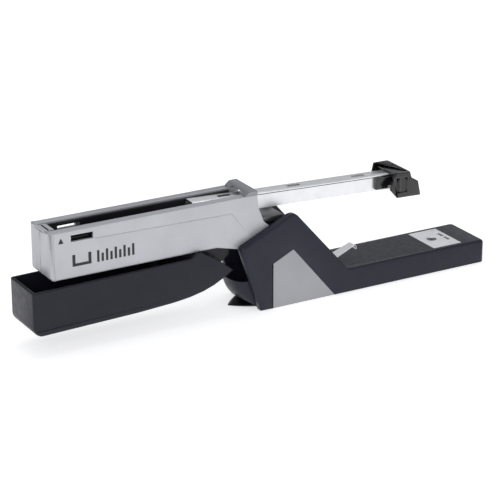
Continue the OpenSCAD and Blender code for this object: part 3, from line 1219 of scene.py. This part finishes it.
@dataclass
class Anvil:
    """The anvil plate with its two pits, a dimple and its screw.

    Attributes:
        maker: Makes the pieces.
        edge: Radius of the plate's edges.
        pit_edge: Radius of the pits' edges.
        groove_x: Middle of both pits.
        pit_zone: Half length and half width of the zone that holds the pits.
        pit_y: Distance of each pit from mid-width.
        pit_shade_half: Half length and half width of the dark plate in each pit, which is painted
            shade.
        pit_shade_depths: Depths of the top and the bottom of that plate of painted shade.
        dimple: Where the dimple is.
        dimple_depth: Depth of the dimple.
        screw: The screw.
    """

    maker: PieceMaker
    edge: float = 0.25
    pit_edge: float = 0.12
    groove_x: float = 173.4
    pit_zone: Point2 = (2.0, 8.0)
    pit_y: float = 4.4
    pit_shade_half: Point2 = (1.15, 3.3)
    pit_shade_depths: Point2 = (0.3, 0.8)
    dimple: Point2 = (171.6, 9.5)
    dimple_depth: float = 0.35
    screw: Screw = Screw(3.7, 1.1, 1.35, 2.3)

    def build(self) -> None:
        """Makes the plate, a dark plate of painted shade in each pit, and its screw."""
        top = Box.of("anvil_plate").z1
        place = Matrix.Translation(Vector((*self.dimple, top - self.dimple_depth)))
        dimple = turned([(0.3, 0), (0.8, 0.36), (0.8, 1.0)], place, 20)

        def rule(spot: EdgeSpot) -> float:
            """Radius of one edge of the plate.

            Args:
                spot: The edge.

            Returns:
                The radius.
            """
            x, y, _ = spot.middle
            in_pit = abs(x - self.groove_x) < self.pit_zone[0] and abs(y) < self.pit_zone[1]
            return self.pit_edge if in_pit else self.edge

        self.maker.from_node("anvil_plate", Body.BASE, Finish.ANVIL_STEEL, rule, [dimple])
        # The dark plates in the pits are painted shade: they darken the recesses where shadow
        # falls.
        along, across = self.pit_shade_half
        upper, lower = self.pit_shade_depths
        shade_plates = []
        for side in Side:
            y = side.value * self.pit_y
            low = Vector((self.groove_x - along, y - across, top - lower))
            high = Vector((self.groove_x + along, y + across, top - upper))
            shade_plates.append(box_mesh(low, high))
        self.maker.finish("pit_shade_plates", joined(shade_plates), Body.BASE, Finish.DARK_STEEL)
        hole = Box.of("anvil_screw")
        head = Matrix.Translation(Vector((hole.middle.x, 0, hole.z1)))
        self.maker.finish(
            "anvil_screw_skin", self.screw.build(head), Body.BASE, Finish.DARK_STEEL,
            ["anvil_screw"],
        )


@dataclass
class LeafSpring:
    """The leaf spring: flat root, rising arm and a tip curled over, with its two rivets.

    Attributes:
        maker: Makes the pieces.
        thickness: Thickness of the sheet.
        edge: Radius of its edges.
        flat_x: Points along the flat root.
        bend: Where along the base the root bends up.
        bend_radius: Radius of that bend.
        tip: Centre of the curled tip.
        tip_radius: Radius of the curled tip.
        half_width: Half width of the root.
        narrowing: How much of that is lost along the arm.
        arm: Length over which it is lost.
        rivet_x: Where the rivets are.
        rivet: A rivet's outline, as radius and height above the sheet's middle.
    """

    maker: PieceMaker
    thickness: float = 0.7
    edge: float = 0.15
    flat_x: Point2 = (50.0, 58.0)
    bend: float = 60.0
    bend_radius: float = 12.0
    tip: Point2 = (86.3, 26.4)
    tip_radius: float = 2.2
    half_width: float = 5.5
    narrowing: float = 2.1
    arm: float = 28.0
    rivet_x: Point2 = (44.0, 54.0)
    rivet: tuple[Point2, ...] = (
        (1.4, -3.5), (1.4, 0.2), (2.4, 0.3), (2.35, 0.7), (1.9, 1.05), (1.0, 1.25), (0.2, 1.3),
    )

    def half_at(self, x: float) -> float:
        """Half width of the strip at one place along the base."""
        return self.half_width - self.narrowing * min(max((x - self.bend) / self.arm, 0), 1)

    def build(self) -> None:
        """Makes the spring and its rivets."""
        box = Box.of("leaf_spring")
        root = box.z0 + self.thickness / 2
        line = [(x, root) for x in (box.x0, *self.flat_x)]
        line += arc((self.bend, root + self.bend_radius), self.bend_radius, -96, -68, 6)
        line += arc(self.tip, self.tip_radius, 112, -40, 10)
        self.maker.finish(
            "leaf_spring_skin", strip(line, self.thickness, self.half_at), Body.BASE,
            Finish.SPRING_STEEL, ["leaf_spring"], lambda spot: self.edge, 2,
        )
        places = [Matrix.Translation(Vector((x, 0, root))) for x in self.rivet_x]
        rivets = [turned(self.rivet, place, 28) for place in places]
        self.maker.finish(
            "leaf_rivets_skin", joined(rivets), Body.BASE, Finish.FASTENER_STEEL, ["leaf_rivets"]
        )


@dataclass
class Fittings:
    """Hinge pin, ballast plate, ribbed sole and the screws from below.

    Attributes:
        maker: Makes the pieces.
        inset: How far the sole's grooves stay from its ends.
        side_inset: How far they stay from its sides.
        pitch: Distance from groove to groove.
        groove: Width of a groove.
        groove_depth: Depth of a groove.
        screw_x: Where the screws are.
        screw: One screw.
    """

    maker: PieceMaker
    inset: float = 6.0
    side_inset: float = 3.0
    pitch: float = 5.0
    groove: float = 1.2
    groove_depth: float = 0.4
    screw_x: tuple[float, ...] = (24.0, 104.0, 184.0)
    screw: Screw = Screw(3.0, 1.6, 1.35, 6.5)

    def build(self) -> None:
        """Makes the fittings."""
        self.maker.from_node("hinge_pin", Body.BASE, Finish.FASTENER_STEEL, 0.4)
        self.maker.from_node("ballast_plate", Body.BASE, Finish.PLATE_STEEL, 0.3)
        box = Box.of("sole")
        grooves = []
        x = box.x0 + self.inset
        while x < box.x1 - self.inset:
            low = Vector((x, box.y0 + self.side_inset, -1))
            high = Vector((x + self.groove, box.y1 - self.side_inset, self.groove_depth))
            grooves.append(box_mesh(low, high))
            x += self.pitch
        self.maker.from_node("sole", Body.BASE, Finish.RUBBER_BLACK, 0.15, [joined(grooves)])
        flip = Matrix.Rotation(math.pi, 4, "X")
        places = [Matrix.Translation((x, 0, self.groove_depth)) @ flip for x in self.screw_x]
        screws = [self.screw.build(place) for place in places]
        self.maker.finish(
            "base_screws_skin", joined(screws), Body.BASE, Finish.FASTENER_STEEL, ["base_screws"]
        )


@dataclass
class Base:
    """The base, from its frame to its fittings.

    Attributes:
        maker: Makes the pieces.
    """

    maker: PieceMaker

    def build(self) -> None:
        """Makes every piece of the base."""
        for part in (Frame, RearCover, HeelFoot, Anvil, LeafSpring, Fittings):
            part(self.maker).build()


# ---------------------------------------------------------------- head


@dataclass
class Case:
    """The head's case: two silver shells with their side lines, and the land at the nose.

    Attributes:
        maker: Makes the pieces.
        nose_edge: Radius of the nose's upright corners.
        seam_edge: Radius of the nose's edges at the seam.
        mouth_edge: Radius of the nose's other edges.
        face_edge: Radius of the long edges of the face.
        back_edge: Radius of the long edges of the back.
        rear_edge: Radius of the outer edges at the hinge.
        window_edge: Radius of the side window's edges.
        face_from: Distance from the nose to where the face's long edges start.
        back_top: Height that the back's long edges lie below.
        back_to: Where the back's long edges end.
        rear_from: Where the outer edges at the hinge start.
        window_x: Stretch along the head that holds the side window.
        window_z: Heights between which the side window lies.
        panel_line: The shallow line round the side's flat field.
        line_width: Width of the side lines.
        panel_depth: Depth of the line round the flat field.
        corner_line: Distance from the nose to the upright line behind its corner.
        corner_foot: Height at which the upright line starts.
        corner_depth: Depth of the upright line.
        land_front: Distance from the nose to the land's front.
        land_wall: Distance from the nose to where the land's front part ends.
        land_reach: How far the land reaches along the face.
        land_half: Half width of the land.
        land_front_depth: Thickness of the land's front part.
        land_sheet: Thickness of the land where the rail slides under it.
        land_drop: How far the land lies below the face.
        exit_half: Half length of the slot that staples leave by.
        exit_room: Room beside the striker in that slot.
    """

    maker: PieceMaker
    nose_edge: float = 1.9
    seam_edge: float = 0.45
    mouth_edge: float = 0.8
    face_edge: float = 0.7
    back_edge: float = 1.6
    rear_edge: float = 0.6
    window_edge: float = 0.35
    face_from: float = 2.0
    back_top: float = 57.5
    back_to: float = -30.0
    rear_from: float = -32.0
    window_x: Point2 = (-162.0, -141.0)
    window_z: Point2 = (81.0, 88.5)
    panel_line: tuple[Point2, ...] = ((-141.5, 81.9), (-29.9, 79.9), (-14.2, 59.2))
    line_width: float = 0.9
    panel_depth: float = 0.3
    corner_line: float = 3.6
    corner_foot: float = 50.0
    corner_depth: float = 0.4
    land_front: float = 0.3
    land_wall: float = 1.9
    land_reach: float = 8.2
    land_half: float = 7.05
    land_front_depth: float = 1.1
    land_sheet: float = 0.38
    land_drop: float = 0.02
    exit_half: float = 0.75
    exit_room: float = 0.1

    def shell(self, side: Side) -> None:
        """One half of the case, with its side lines.

        Args:
            side: The half's side.
        """
        node = f"head_shell_{side.label}"
        box = Box.of(node)
        surface = side.value * box.far
        upright = box.x0 + self.corner_line
        corner = [(upright, self.corner_foot), (upright, box.z1 + 2)]
        cutters = [
            groove(corner, surface, self.line_width, self.corner_depth),
            groove(self.panel_line, surface, self.line_width, self.panel_depth),
        ]

        def rule(spot: EdgeSpot) -> float:
            """Radius of one edge of the shell.

            Args:
                spot: The edge.

            Returns:
                The radius, or 0 for an edge that stays sharp.
            """
            x, y, z = spot.middle
            outer = spot.beyond(1, box.far - NEAR)
            if x < box.x0 + AT_END:
                inner_edge = self.seam_edge if abs(y) < 1 else self.mouth_edge
                return self.nose_edge if outer else inner_edge
            if not outer:
                return 0.0
            if z > box.z1 - NEAR and x > box.x0 + self.face_from:
                return self.face_edge
            if z < self.back_top and x < self.back_to:
                return self.back_edge
            if x > self.rear_from:
                return self.rear_edge
            in_stretch = self.window_x[0] < x < self.window_x[1]
            at_window = in_stretch and self.window_z[0] < z < self.window_z[1]
            return self.window_edge if at_window else 0.0

        self.maker.from_node(node, Body.HEAD, Finish.HEAD_SILVER, rule, cutters, 4)

    def land(self) -> None:
        """The thin land across the face at the nose, with the slot that staples leave by."""
        box = Box.of("head_shell_left")
        striker = Box.of("striker")
        top = box.z1 - self.land_drop
        front, wall, end = (
            box.x0 + reach for reach in (self.land_front, self.land_wall, self.land_reach)
        )
        under = top - self.land_front_depth
        sheet = top - self.land_sheet
        outline = [
            (front, under), (wall, under), (wall, sheet), (end, sheet), (end, top), (front, top),
        ]
        half = striker.y1 + self.exit_room
        low = Vector((striker.middle.x - self.exit_half, -half, top - 3))
        high = Vector((striker.middle.x + self.exit_half, half, top + 1))
        plate = cut(slab(outline, -self.land_half, self.land_half), [box_mesh(low, high)])
        self.maker.finish(
            "nose_land", plate, Body.HEAD, Finish.HEAD_SILVER, (), lambda spot: 0.1, 2
        )


@dataclass
class Marks:
    """The plain printed pictogram on each side: a staple over bars, and a small arrow.

    Attributes:
        maker: Makes the pieces.
        left: Where the pictogram starts along the head.
        floor: Height of its lower edge.
        height: Height of the staple and of every other bar.
        low_height: Height of the bars between.
        staple_width: Width of the staple.
        leg: Width of the staple's legs.
        crown: Height of the staple's crown.
        bar_start: Distance from the pictogram's start to the first bar.
        bar_pitch: Distance from bar to bar.
        bar_width: Width of a bar.
        bar_count: Number of bars.
        arrow: The arrow's outline.
        sunk: How far the print reaches into the skin.
        proud: How far it stands proud of the skin.
    """

    maker: PieceMaker
    left: float = -160.0
    floor: float = 63.4
    height: float = 9.0
    low_height: float = 6.4
    staple_width: float = 15.0
    leg: float = 2.4
    crown: float = 2.2
    bar_start: float = 19.5
    bar_pitch: float = 3.5
    bar_width: float = 1.9
    bar_count: int = 9
    arrow: tuple[Point2, ...] = ((-170.6, 82.4), (-166.4, 82.4), (-168.2, 86.2), (-169.0, 86.2))
    sunk: float = 0.05
    proud: float = 0.03

    def outlines(self) -> list[Sequence[Point2]]:
        """Draws the pictogram.

        Returns:
            The outline of each printed patch, as [x, z] points.
        """
        left, floor = self.left, self.floor
        right = left + self.staple_width
        top, crown = floor + self.height, floor + self.crown
        drawn: list[Sequence[Point2]] = [
            [
                (left, top), (left, floor), (right, floor), (right, top), (right - self.leg, top),
                (right - self.leg, crown), (left + self.leg, crown), (left + self.leg, top),
            ]
        ]
        for k in range(self.bar_count):
            x0 = left + self.bar_start + k * self.bar_pitch
            x1 = x0 + self.bar_width
            bar_top = floor + (self.height if k % 2 == 0 else self.low_height)
            drawn.append([(x0, floor), (x1, floor), (x1, bar_top), (x0, bar_top)])
        return [*drawn, self.arrow]

    def build(self, side: Side) -> None:
        """Prints one side.

        Args:
            side: The side that is printed.
        """
        skin = side.value * -Box.of("head_shell_right").y0
        y0, y1 = sorted((skin - side.value * self.sunk, skin + side.value * self.proud))
        patches = [slab(outline, y0, y1) for outline in self.outlines()]
        self.maker.finish(
            f"printed_marks_{side.label}", joined(patches), Body.HEAD, Finish.PRINT_BLACK
        )


@dataclass
class Head:
    """The head: its case and print, and the works inside.

    Attributes:
        maker: Makes the pieces.
        spring_steps: Steps along the power spring.
        spring_share: Thickness of the power spring, as a share of its CAD solid's.
        bend_room: Distance from the power spring's fixed and free ends to its bending stretch; not
            used.
        screw_x: Where the case screws are.
        screw_z: Height of the case screws.
        screw: One case screw.
    """

    maker: PieceMaker
    spring_steps: int = 48
    spring_share: float = 0.9
    bend_room: Point2 = (8.0, 13.0)
    screw_x: Point2 = (-72.0, -52.0)
    screw_z: float = 62.2
    screw: Screw = Screw(2.75, 1.1, 1.3, 24.0)

    def build(self) -> None:
        """Makes every piece of the head."""
        case = Case(self.maker)
        marks = Marks(self.maker)
        for side in Side:
            case.shell(side)
            marks.build(side)
        case.land()
        self.works()
        self.power_spring()
        self.screws()

    def works(self) -> None:
        """Channel, collar, bracket, pins, lever and striker."""
        for node, body, finish, edge, segments in (
            ("nose_plate", Body.HEAD, Finish.RAIL_CHROME, 0.25, 2),
            ("staple_channel", Body.HEAD, Finish.CHANNEL_BLACK, 0.25, 2),
            ("rear_collar", Body.HEAD, Finish.COLLAR_GREY, 0.8, 4),
            ("hinge_bracket", Body.HEAD, Finish.DARK_STEEL, 0.3, 2),
            ("handle_mount", Body.HEAD, Finish.INSERT_BLACK, 0.35, 2),
            ("handle_pin", Body.HEAD, Finish.FASTENER_STEEL, 0.35, 2),
            ("lever_pin", Body.HEAD, Finish.FASTENER_STEEL, 0.35, 2),
            ("lever", Body.LEVER, Finish.PLATE_STEEL, 0.35, 2),
            ("striker", Body.STRIKER, Finish.SPRING_STEEL, 0.15, 2),
        ):
            self.maker.from_node(node, body, finish, edge, segments=segments)

    def power_spring(self) -> None:
        """The power spring, as one straight strip on no body; the real one is fixed at its rear
        end and free at the striker.
        """
        box = Box.of("power_spring")
        step = (box.x1 - box.x0) / self.spring_steps
        line = [(box.x0 + step * i, box.middle.z) for i in range(self.spring_steps + 1)]
        mesh = strip(line, (box.z1 - box.z0) * self.spring_share, lambda x: box.y1)
        piece = self.maker.make("power_spring_skin", mesh, Finish.SPRING_STEEL, ["power_spring"])
        fixed, free = self.bend_room
        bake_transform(piece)
        LOG.info("%s bends between head and striker", piece.name)

    def screws(self) -> None:
        """The two case screws, sunk into the left shell."""
        turn = Matrix.Rotation(-math.pi / 2, 4, "X")
        y = Box.of("shell_screws").y1
        places = [Matrix.Translation((x, y, self.screw_z)) @ turn for x in self.screw_x]
        screws = [self.screw.build(place) for place in places]
        self.maker.finish(
            "shell_screws_skin", joined(screws), Body.HEAD, Finish.FASTENER_STEEL,
            ["shell_screws"],
        )


# ---------------------------------------------------------------- handle


@dataclass
class Handle:
    """The hollow handle and the post that presses the lever.

    Attributes:
        maker: Makes the pieces.
        tip_edge: Radius of the upright corners at the tip.
        rim_edge: Radius of the open rim.
        belly_edge: Radius of the long edges below.
        inner_edge: Radius of the rim's inner edges.
        tip_reach: How far the tip's corners reach along the handle.
        tip_foot: Height that the tip's upright corners lie above.
        rim_z: Height that the open rim's outer edges lie above.
        rim_to: Where the open rim ends.
        inner_z: Height that its inner edges lie above.
        wall: Thickness of the side walls, with room for their edges.
        horn_from: Where the horns at the pivot start.
        horn_z: Height that the horns' edges lie above.
    """

    maker: PieceMaker
    tip_edge: float = 2.4
    rim_edge: float = 0.9
    belly_edge: float = 2.0
    inner_edge: float = 0.5
    tip_reach: float = 3.0
    tip_foot: float = 22.0
    rim_z: float = 48.0
    rim_to: float = -50.0
    inner_z: float = 49.0
    wall: float = 3.0
    horn_from: float = -54.0
    horn_z: float = 35.0

    def build(self) -> None:
        """Makes the handle's pieces."""
        box = Box.of("handle_shell")

        def rule(spot: EdgeSpot) -> float:
            """Radius of one edge of the handle.

            Args:
                spot: The edge.

            Returns:
                The radius, or 0 for an edge that stays sharp.
            """
            x, y, z = spot.middle
            if spot.beyond(1, box.y1 - NEAR):
                if spot.along(2) and x < box.x0 + self.tip_reach and z > self.tip_foot:
                    return self.tip_edge
                on_rim = z > self.rim_z and x < self.rim_to
                on_horn = x > self.horn_from and z > self.horn_z
                return self.rim_edge if on_rim or on_horn else self.belly_edge
            if z > self.inner_z and abs(y) > box.y1 - self.wall:
                return self.inner_edge
            return self.rim_edge if x < box.x0 + AT_END else 0.0

        self.maker.from_node("handle_shell", Body.HANDLE, Finish.HANDLE_BLACK, rule, segments=4)
        self.maker.from_node("handle_pusher", Body.HANDLE, Finish.INSERT_BLACK, 0.4)


# ---------------------------------------------------------------- rail


@dataclass
class Channel:
    """The bright rail with a pressed line on each side, and the pusher on it.

    Attributes:
        maker: Makes the pieces.
        pivot: The point that the rail droops about.
        fall: The rail's fall for each unit of length.
        fold_edge: Radius of the folded long edges on top.
        fold_line: Distance of the pressed line below the rail's top.
        line_width: Width of the pressed line.
        line_depth: Depth of the pressed line.
        line_over: How far the pressed line's cutter runs past the rail's ends and side.
        shade_trim: How much shorter each dark strip of painted shade in a pressed line is at each
            end.
        shade_sunk: How far that strip of painted shade lies below the rail's side.
    """

    maker: PieceMaker
    pivot: Point2 = (6.5, 87.6)
    fall: float = math.tan(DROOP)
    fold_edge: float = 0.8
    fold_line: float = 1.5
    line_width: float = 0.55
    line_depth: float = 0.65
    line_over: float = 1.0
    shade_trim: float = 1.5
    shade_sunk: float = 0.12

    def top(self, x: float) -> float:
        """Height of the rail's top at one place along it."""
        return self.pivot[1] - (x - self.pivot[0]) * self.fall

    def pressed_line(self, surface: float, past: float, trim: float) -> bmesh.types.BMesh:
        """The narrow line along one side of the rail, as a solid.

        Args:
            surface: Y of the side that it is sunk in, with its sign.
            past: How far it ends past that side.
            trim: How much is cut off each end.

        Returns:
            A new mesh, in metres.
        """
        box = Box.of("feed_rail")
        wide = self.line_width / 2
        x0, x1 = box.x0 - self.line_over, box.x1 + self.line_over
        z0, z1 = (self.top(x) - self.fold_line for x in (x0, x1))
        x0, x1 = x0 + trim, x1 - trim
        outline = [(x0, z0 - wide), (x1, z1 - wide), (x1, z1 + wide), (x0, z0 + wide)]
        inner = surface - math.copysign(self.line_depth, surface)
        return slab(outline, *sorted((inner, surface + math.copysign(past, surface))))

    def build(self) -> None:
        """Makes the rail, a dark strip of painted shade in each pressed line, and the pusher."""
        half = Box.of("feed_rail").y1

        def rule(spot: EdgeSpot) -> float:
            """Radius of one edge of the rail.

            Args:
                spot: The edge.

            Returns:
                The radius, or 0 for an edge that stays sharp.
            """
            on_top = spot.middle.z > self.top(spot.middle.x) - 1
            folded = spot.beyond(1, half - NEAR) and spot.along(0) and on_top
            return self.fold_edge if folded else 0.0

        over = self.line_over
        lines = [self.pressed_line(side.value * half, over, 0.0) for side in Side]
        self.maker.from_node("feed_rail", Body.RAIL, Finish.RAIL_CHROME, rule, lines, 4)
        # The dark strip sunk in each pressed line is painted shade along the groove.
        sunk = half - self.shade_sunk
        dark = [self.pressed_line(side.value * sunk, 0.0, self.shade_trim) for side in Side]
        self.maker.finish("rail_groove_shade", joined(dark), Body.RAIL, Finish.CHANNEL_BLACK)
        self.maker.from_node("pusher", Body.PUSHER, Finish.PLATE_STEEL, 0.25)


@dataclass
class Cap:
    """The end cap, its latch block and the two squeeze buttons.

    Attributes:
        maker: Makes the pieces.
        edge: Radius of the cap's outer edges.
        scoop_radius: Radius of the finger scoop in each button.
        scoop_depth: Depth of the scoop.
        flange: Thickness of a button's flange.
        inset: How far a button's face lies inside its flange, along and upright.
        corner: Corner radius of a button's face.
        button_edge: Radius of a button's edges.
    """

    maker: PieceMaker
    edge: float = 0.9
    scoop_radius: float = 4.6
    scoop_depth: float = 1.4
    flange: float = 1.6
    inset: Point2 = (1.4, 1.2)
    corner: float = 3.4
    button_edge: float = 0.3

    def build(self) -> None:
        """Makes the cap, the block and both buttons."""
        half = Box.of("end_cap").y1

        def rule(spot: EdgeSpot) -> float:
            """Radius of one edge of the cap: rounder outside, crisp inside.

            Args:
                spot: The edge.

            Returns:
                The radius, or 0 for an edge that stays sharp.
            """
            return self.edge if spot.beyond(1, half - NEAR) else 0.0

        self.maker.from_node("end_cap", Body.RAIL, Finish.CAP_BLACK, rule, segments=3)
        self.maker.from_node("latch_block", Body.RAIL, Finish.CAP_BLACK, 0.4)
        for side, body in ((Side.LEFT, Body.BUTTON_LEFT), (Side.RIGHT, Body.BUTTON_RIGHT)):
            node = f"latch_button_{side.label}"
            self.maker.finish(
                node + "_skin", self.button(side), body, Finish.CAP_BLACK, [node],
                lambda spot: self.button_edge,
            )

    def button(self, side: Side) -> bmesh.types.BMesh:
        """A squeeze button: a round-cornered face with a finger scoop, on its flange.

        Args:
            side: The button's side.

        Returns:
            A new mesh, in metres.
        """
        box = Box.of(f"latch_button_{side.label}")
        root = box.near + self.flange
        along, upright = (inset + self.corner for inset in self.inset)
        x0, x1, z0, z1 = box.x0 + along, box.x1 - along, box.z0 + upright, box.z1 - upright
        outline: list[Point2] = []
        for k, centre in enumerate(((x1, z1), (x0, z1), (x0, z0), (x1, z0))):
            outline += arc(centre, self.corner, 90 * k, 90 * k + 90, 8)
        face = slab(outline, *sorted((side.value * (root - 0.1), side.value * box.far)))
        corners = [(box.x0, box.z0), (box.x1, box.z0), (box.x1, box.z1), (box.x0, box.z1)]
        back = slab(corners, *sorted((side.value * box.near, side.value * root)))
        scoop_y = side.value * (box.far + self.scoop_radius - self.scoop_depth)
        place = Matrix.Translation(Vector((box.middle.x, scoop_y, box.z0 - 5)))
        scoop = turned([(self.scoop_radius, 0), (self.scoop_radius, 30)], place, 96)
        return joined([cut(face, [scoop]), back])


@dataclass
class Springs:
    """The latch springs and the long pusher spring, wound as real coils.

    Attributes:
        maker: Makes the pieces.
        latch_radius: Radius of a latch spring, to the middle of its wire.
        latch_wire: Its wire's diameter.
        latch_turns: Its number of turns.
        latch_travel: How far a button presses it; not used.
        long_radius: Radius of the pusher spring.
        long_wire: Its wire's diameter.
        long_turns: Its number of turns.
        long_travel: How far the pusher presses it; not used.
        long_start: Where it starts, behind its box's inner end and below its top.
        long_short: How much shorter it is than its CAD solid.
    """

    maker: PieceMaker
    latch_radius: float = 1.9
    latch_wire: float = 0.55
    latch_turns: float = 5.5
    latch_travel: float = 1.2
    long_radius: float = 1.8
    long_wire: float = 0.5
    long_turns: float = 62
    long_travel: float = 100.0
    long_start: Point2 = (0.3, 2.1)
    long_short: float = 0.4

    def build(self) -> None:
        """Makes all three springs."""
        for side in Side:
            self.latch_spring(side)
        self.pusher_spring()

    def latch_spring(self, side: Side) -> None:
        """The spring behind one button.

        Args:
            side: The button's side.
        """
        node = f"latch_spring_{side.label}"
        box = Box.of(node)
        length = box.y1 - box.y0
        start = Vector((box.middle.x, side.value * box.near, box.middle.z))
        place = Matrix.Translation(start) @ Matrix.Rotation(-side.value * math.pi / 2, 4, "X")
        wound = coil(place, self.latch_radius, self.latch_wire, self.latch_turns, length)
        piece = self.maker.finish(
            node + "_skin", wound, Body.RAIL, Finish.SPRING_STEEL, [node]
        )
        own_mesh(piece)

    def pusher_spring(self) -> None:
        """The long spring under the rail that drives the pusher."""
        box = Box.of("pusher_spring")
        length = (box.x1 - box.x0) / math.cos(DROOP) - self.long_short
        behind, below = self.long_start
        start = Vector((box.x0 + behind, 0, box.z1 - below))
        place = Matrix.Translation(start) @ Matrix.Rotation(math.pi / 2 + DROOP, 4, "Y")
        wound = coil(place, self.long_radius, self.long_wire, self.long_turns, length)
        piece = self.maker.finish(
            "pusher_spring_skin", wound, Body.RAIL, Finish.SPRING_STEEL, ["pusher_spring"]
        )
        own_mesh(piece)


@dataclass
class Rail:
    """Everything that draws out with the rail.

    Attributes:
        maker: Makes the pieces.
    """

    maker: PieceMaker

    def build(self) -> None:
        """Makes the rail's pieces."""
        for part in (Channel, Cap, Springs):
            part(self.maker).build()


# ---------------------------------------------------------------- stage


@dataclass(frozen=True)
class Lamp:
    """One soft square light that looks at the stapler.

    Attributes:
        name: The light's name.
        at: Where it stands, in metres.
        size: Length of its side, in metres.
        power: Its power, in watts.
    """

    name: str
    at: tuple[float, float, float]
    size: float
    power: float

    def build(self, aim: Vector) -> None:
        """Adds the light to the scene.

        Args:
            aim: The point that it looks at, in metres.
        """
        data = bpy.data.lights.new(self.name, "AREA")
        data.shape = "SQUARE"
        data.size = self.size
        data.energy = self.power
        made = bpy.data.objects.new(self.name, data)
        made.location = self.at
        made.rotation_euler = (aim - Vector(self.at)).to_track_quat("-Z", "Y").to_euler()
        bpy.context.scene.collection.objects.link(made)


@dataclass
class Studio:
    """Camera, soft lights and a pale floor.

    Attributes:
        eye: Where the camera stands, in millimetres.
        target: The point that it looks at.
        lens: Focal length on the sensor.
        sensor: Width of the sensor.
        aim: The point that the lights look at, in metres.
        sky: Colour of the sky.
        sky_strength: Strength of the sky.
        floor_size: Half width of the floor, in metres.
        floor_gap: How far the floor lies below the stapler, in metres.
        floor_glow: Strength of the floor's own light.
        lamps: The lights.
    """

    eye: tuple[float, float, float] = (-742.8, -1276.3, 608.2)
    target: tuple[float, float, float] = (-5.07, 0.0, 41.25)
    lens: float = 150.5
    sensor: float = 36.0
    aim: tuple[float, float, float] = (0.0, 0.0, 0.04)
    sky: Colour = (0.93, 0.95, 1.0)
    sky_strength: float = 0.4
    floor_size: float = 8.0
    floor_gap: float = 0.0001
    floor_glow: float = 0.56
    lamps: tuple[Lamp, ...] = (
        Lamp("front_left", (-1.1, -1.5, 0.8), 1.2, 12),
        Lamp("front_right", (0.9, -1.2, 0.6), 0.9, 3),
        Lamp("above", (0.1, 0.3, 1.6), 1.2, 5),
        Lamp("behind", (0.8, 1.4, 0.75), 1.6, 1.6),
    )

    def camera(self) -> None:
        """Makes the camera."""
        data = bpy.data.cameras.new("camera")
        data.lens = self.lens
        data.sensor_width = self.sensor
        data.clip_start = 0.05
        made = bpy.data.objects.new("camera", data)
        eye = Vector(self.eye) * MM
        look = Vector(self.target) * MM - eye
        made.location = eye
        made.rotation_euler = look.to_track_quat("-Z", "Y").to_euler()
        bpy.context.scene.collection.objects.link(made)
        bpy.context.scene.camera = made

    def build(self) -> None:
        """Makes the lights, the sky and the floor."""
        scene = bpy.context.scene
        scene.view_settings.view_transform = "Standard"
        world = bpy.data.worlds.new("sky")
        world.use_nodes = True
        sky = world.node_tree.nodes["Background"]
        sky.inputs["Color"].default_value = (*self.sky, 1.0)
        sky.inputs["Strength"].default_value = self.sky_strength
        scene.world = world
        for lamp in self.lamps:
            lamp.build(Vector(self.aim))
        self.floor()

    def floor(self) -> None:
        """Makes the floor and its finish."""
        mesh = bmesh.new()
        bmesh.ops.create_grid(mesh, x_segments=8, y_segments=8, size=self.floor_size)
        floor = new_object(mesh, "floor")
        floor.location = (0, 0, -self.floor_gap)
        nodes = Nodes("floor")
        nodes.tint(nodes.noise(Noise.FLOOR_CLOUDS), (1.0, 1.0, 1.0), dark=0.88, light=0.9)
        nodes.set("Roughness", 0.9)
        nodes.set("Specular IOR Level", 0.2)
        nodes.set("Emission Color", (1.0, 1.0, 1.0, 1.0))
        nodes.set("Emission Strength", self.floor_glow)
        floor.data.materials.append(nodes.material)
        floor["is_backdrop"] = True


def corners(box: Sequence[Vector]) -> list[list[float]]:
    """A box as two plain lists of numbers."""
    return [[float(value) for value in corner] for corner in box]


def main() -> None:
    """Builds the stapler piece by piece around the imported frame."""
    logging.basicConfig(level=logging.INFO, format="%(name)s: %(message)s")
    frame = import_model()
    cad_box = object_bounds()
    studio = Studio()
    studio.camera()
    maker = PieceMaker(frame["nodes"])
    for part in (Base, Head, Handle, Rail):
        part(maker).build()
    studio.build()
    LOG.info("%d pieces", len(maker.made))
    {"cad": corners(cad_box), "visual": corners(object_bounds())}


if __name__ == "__main__":
    main()
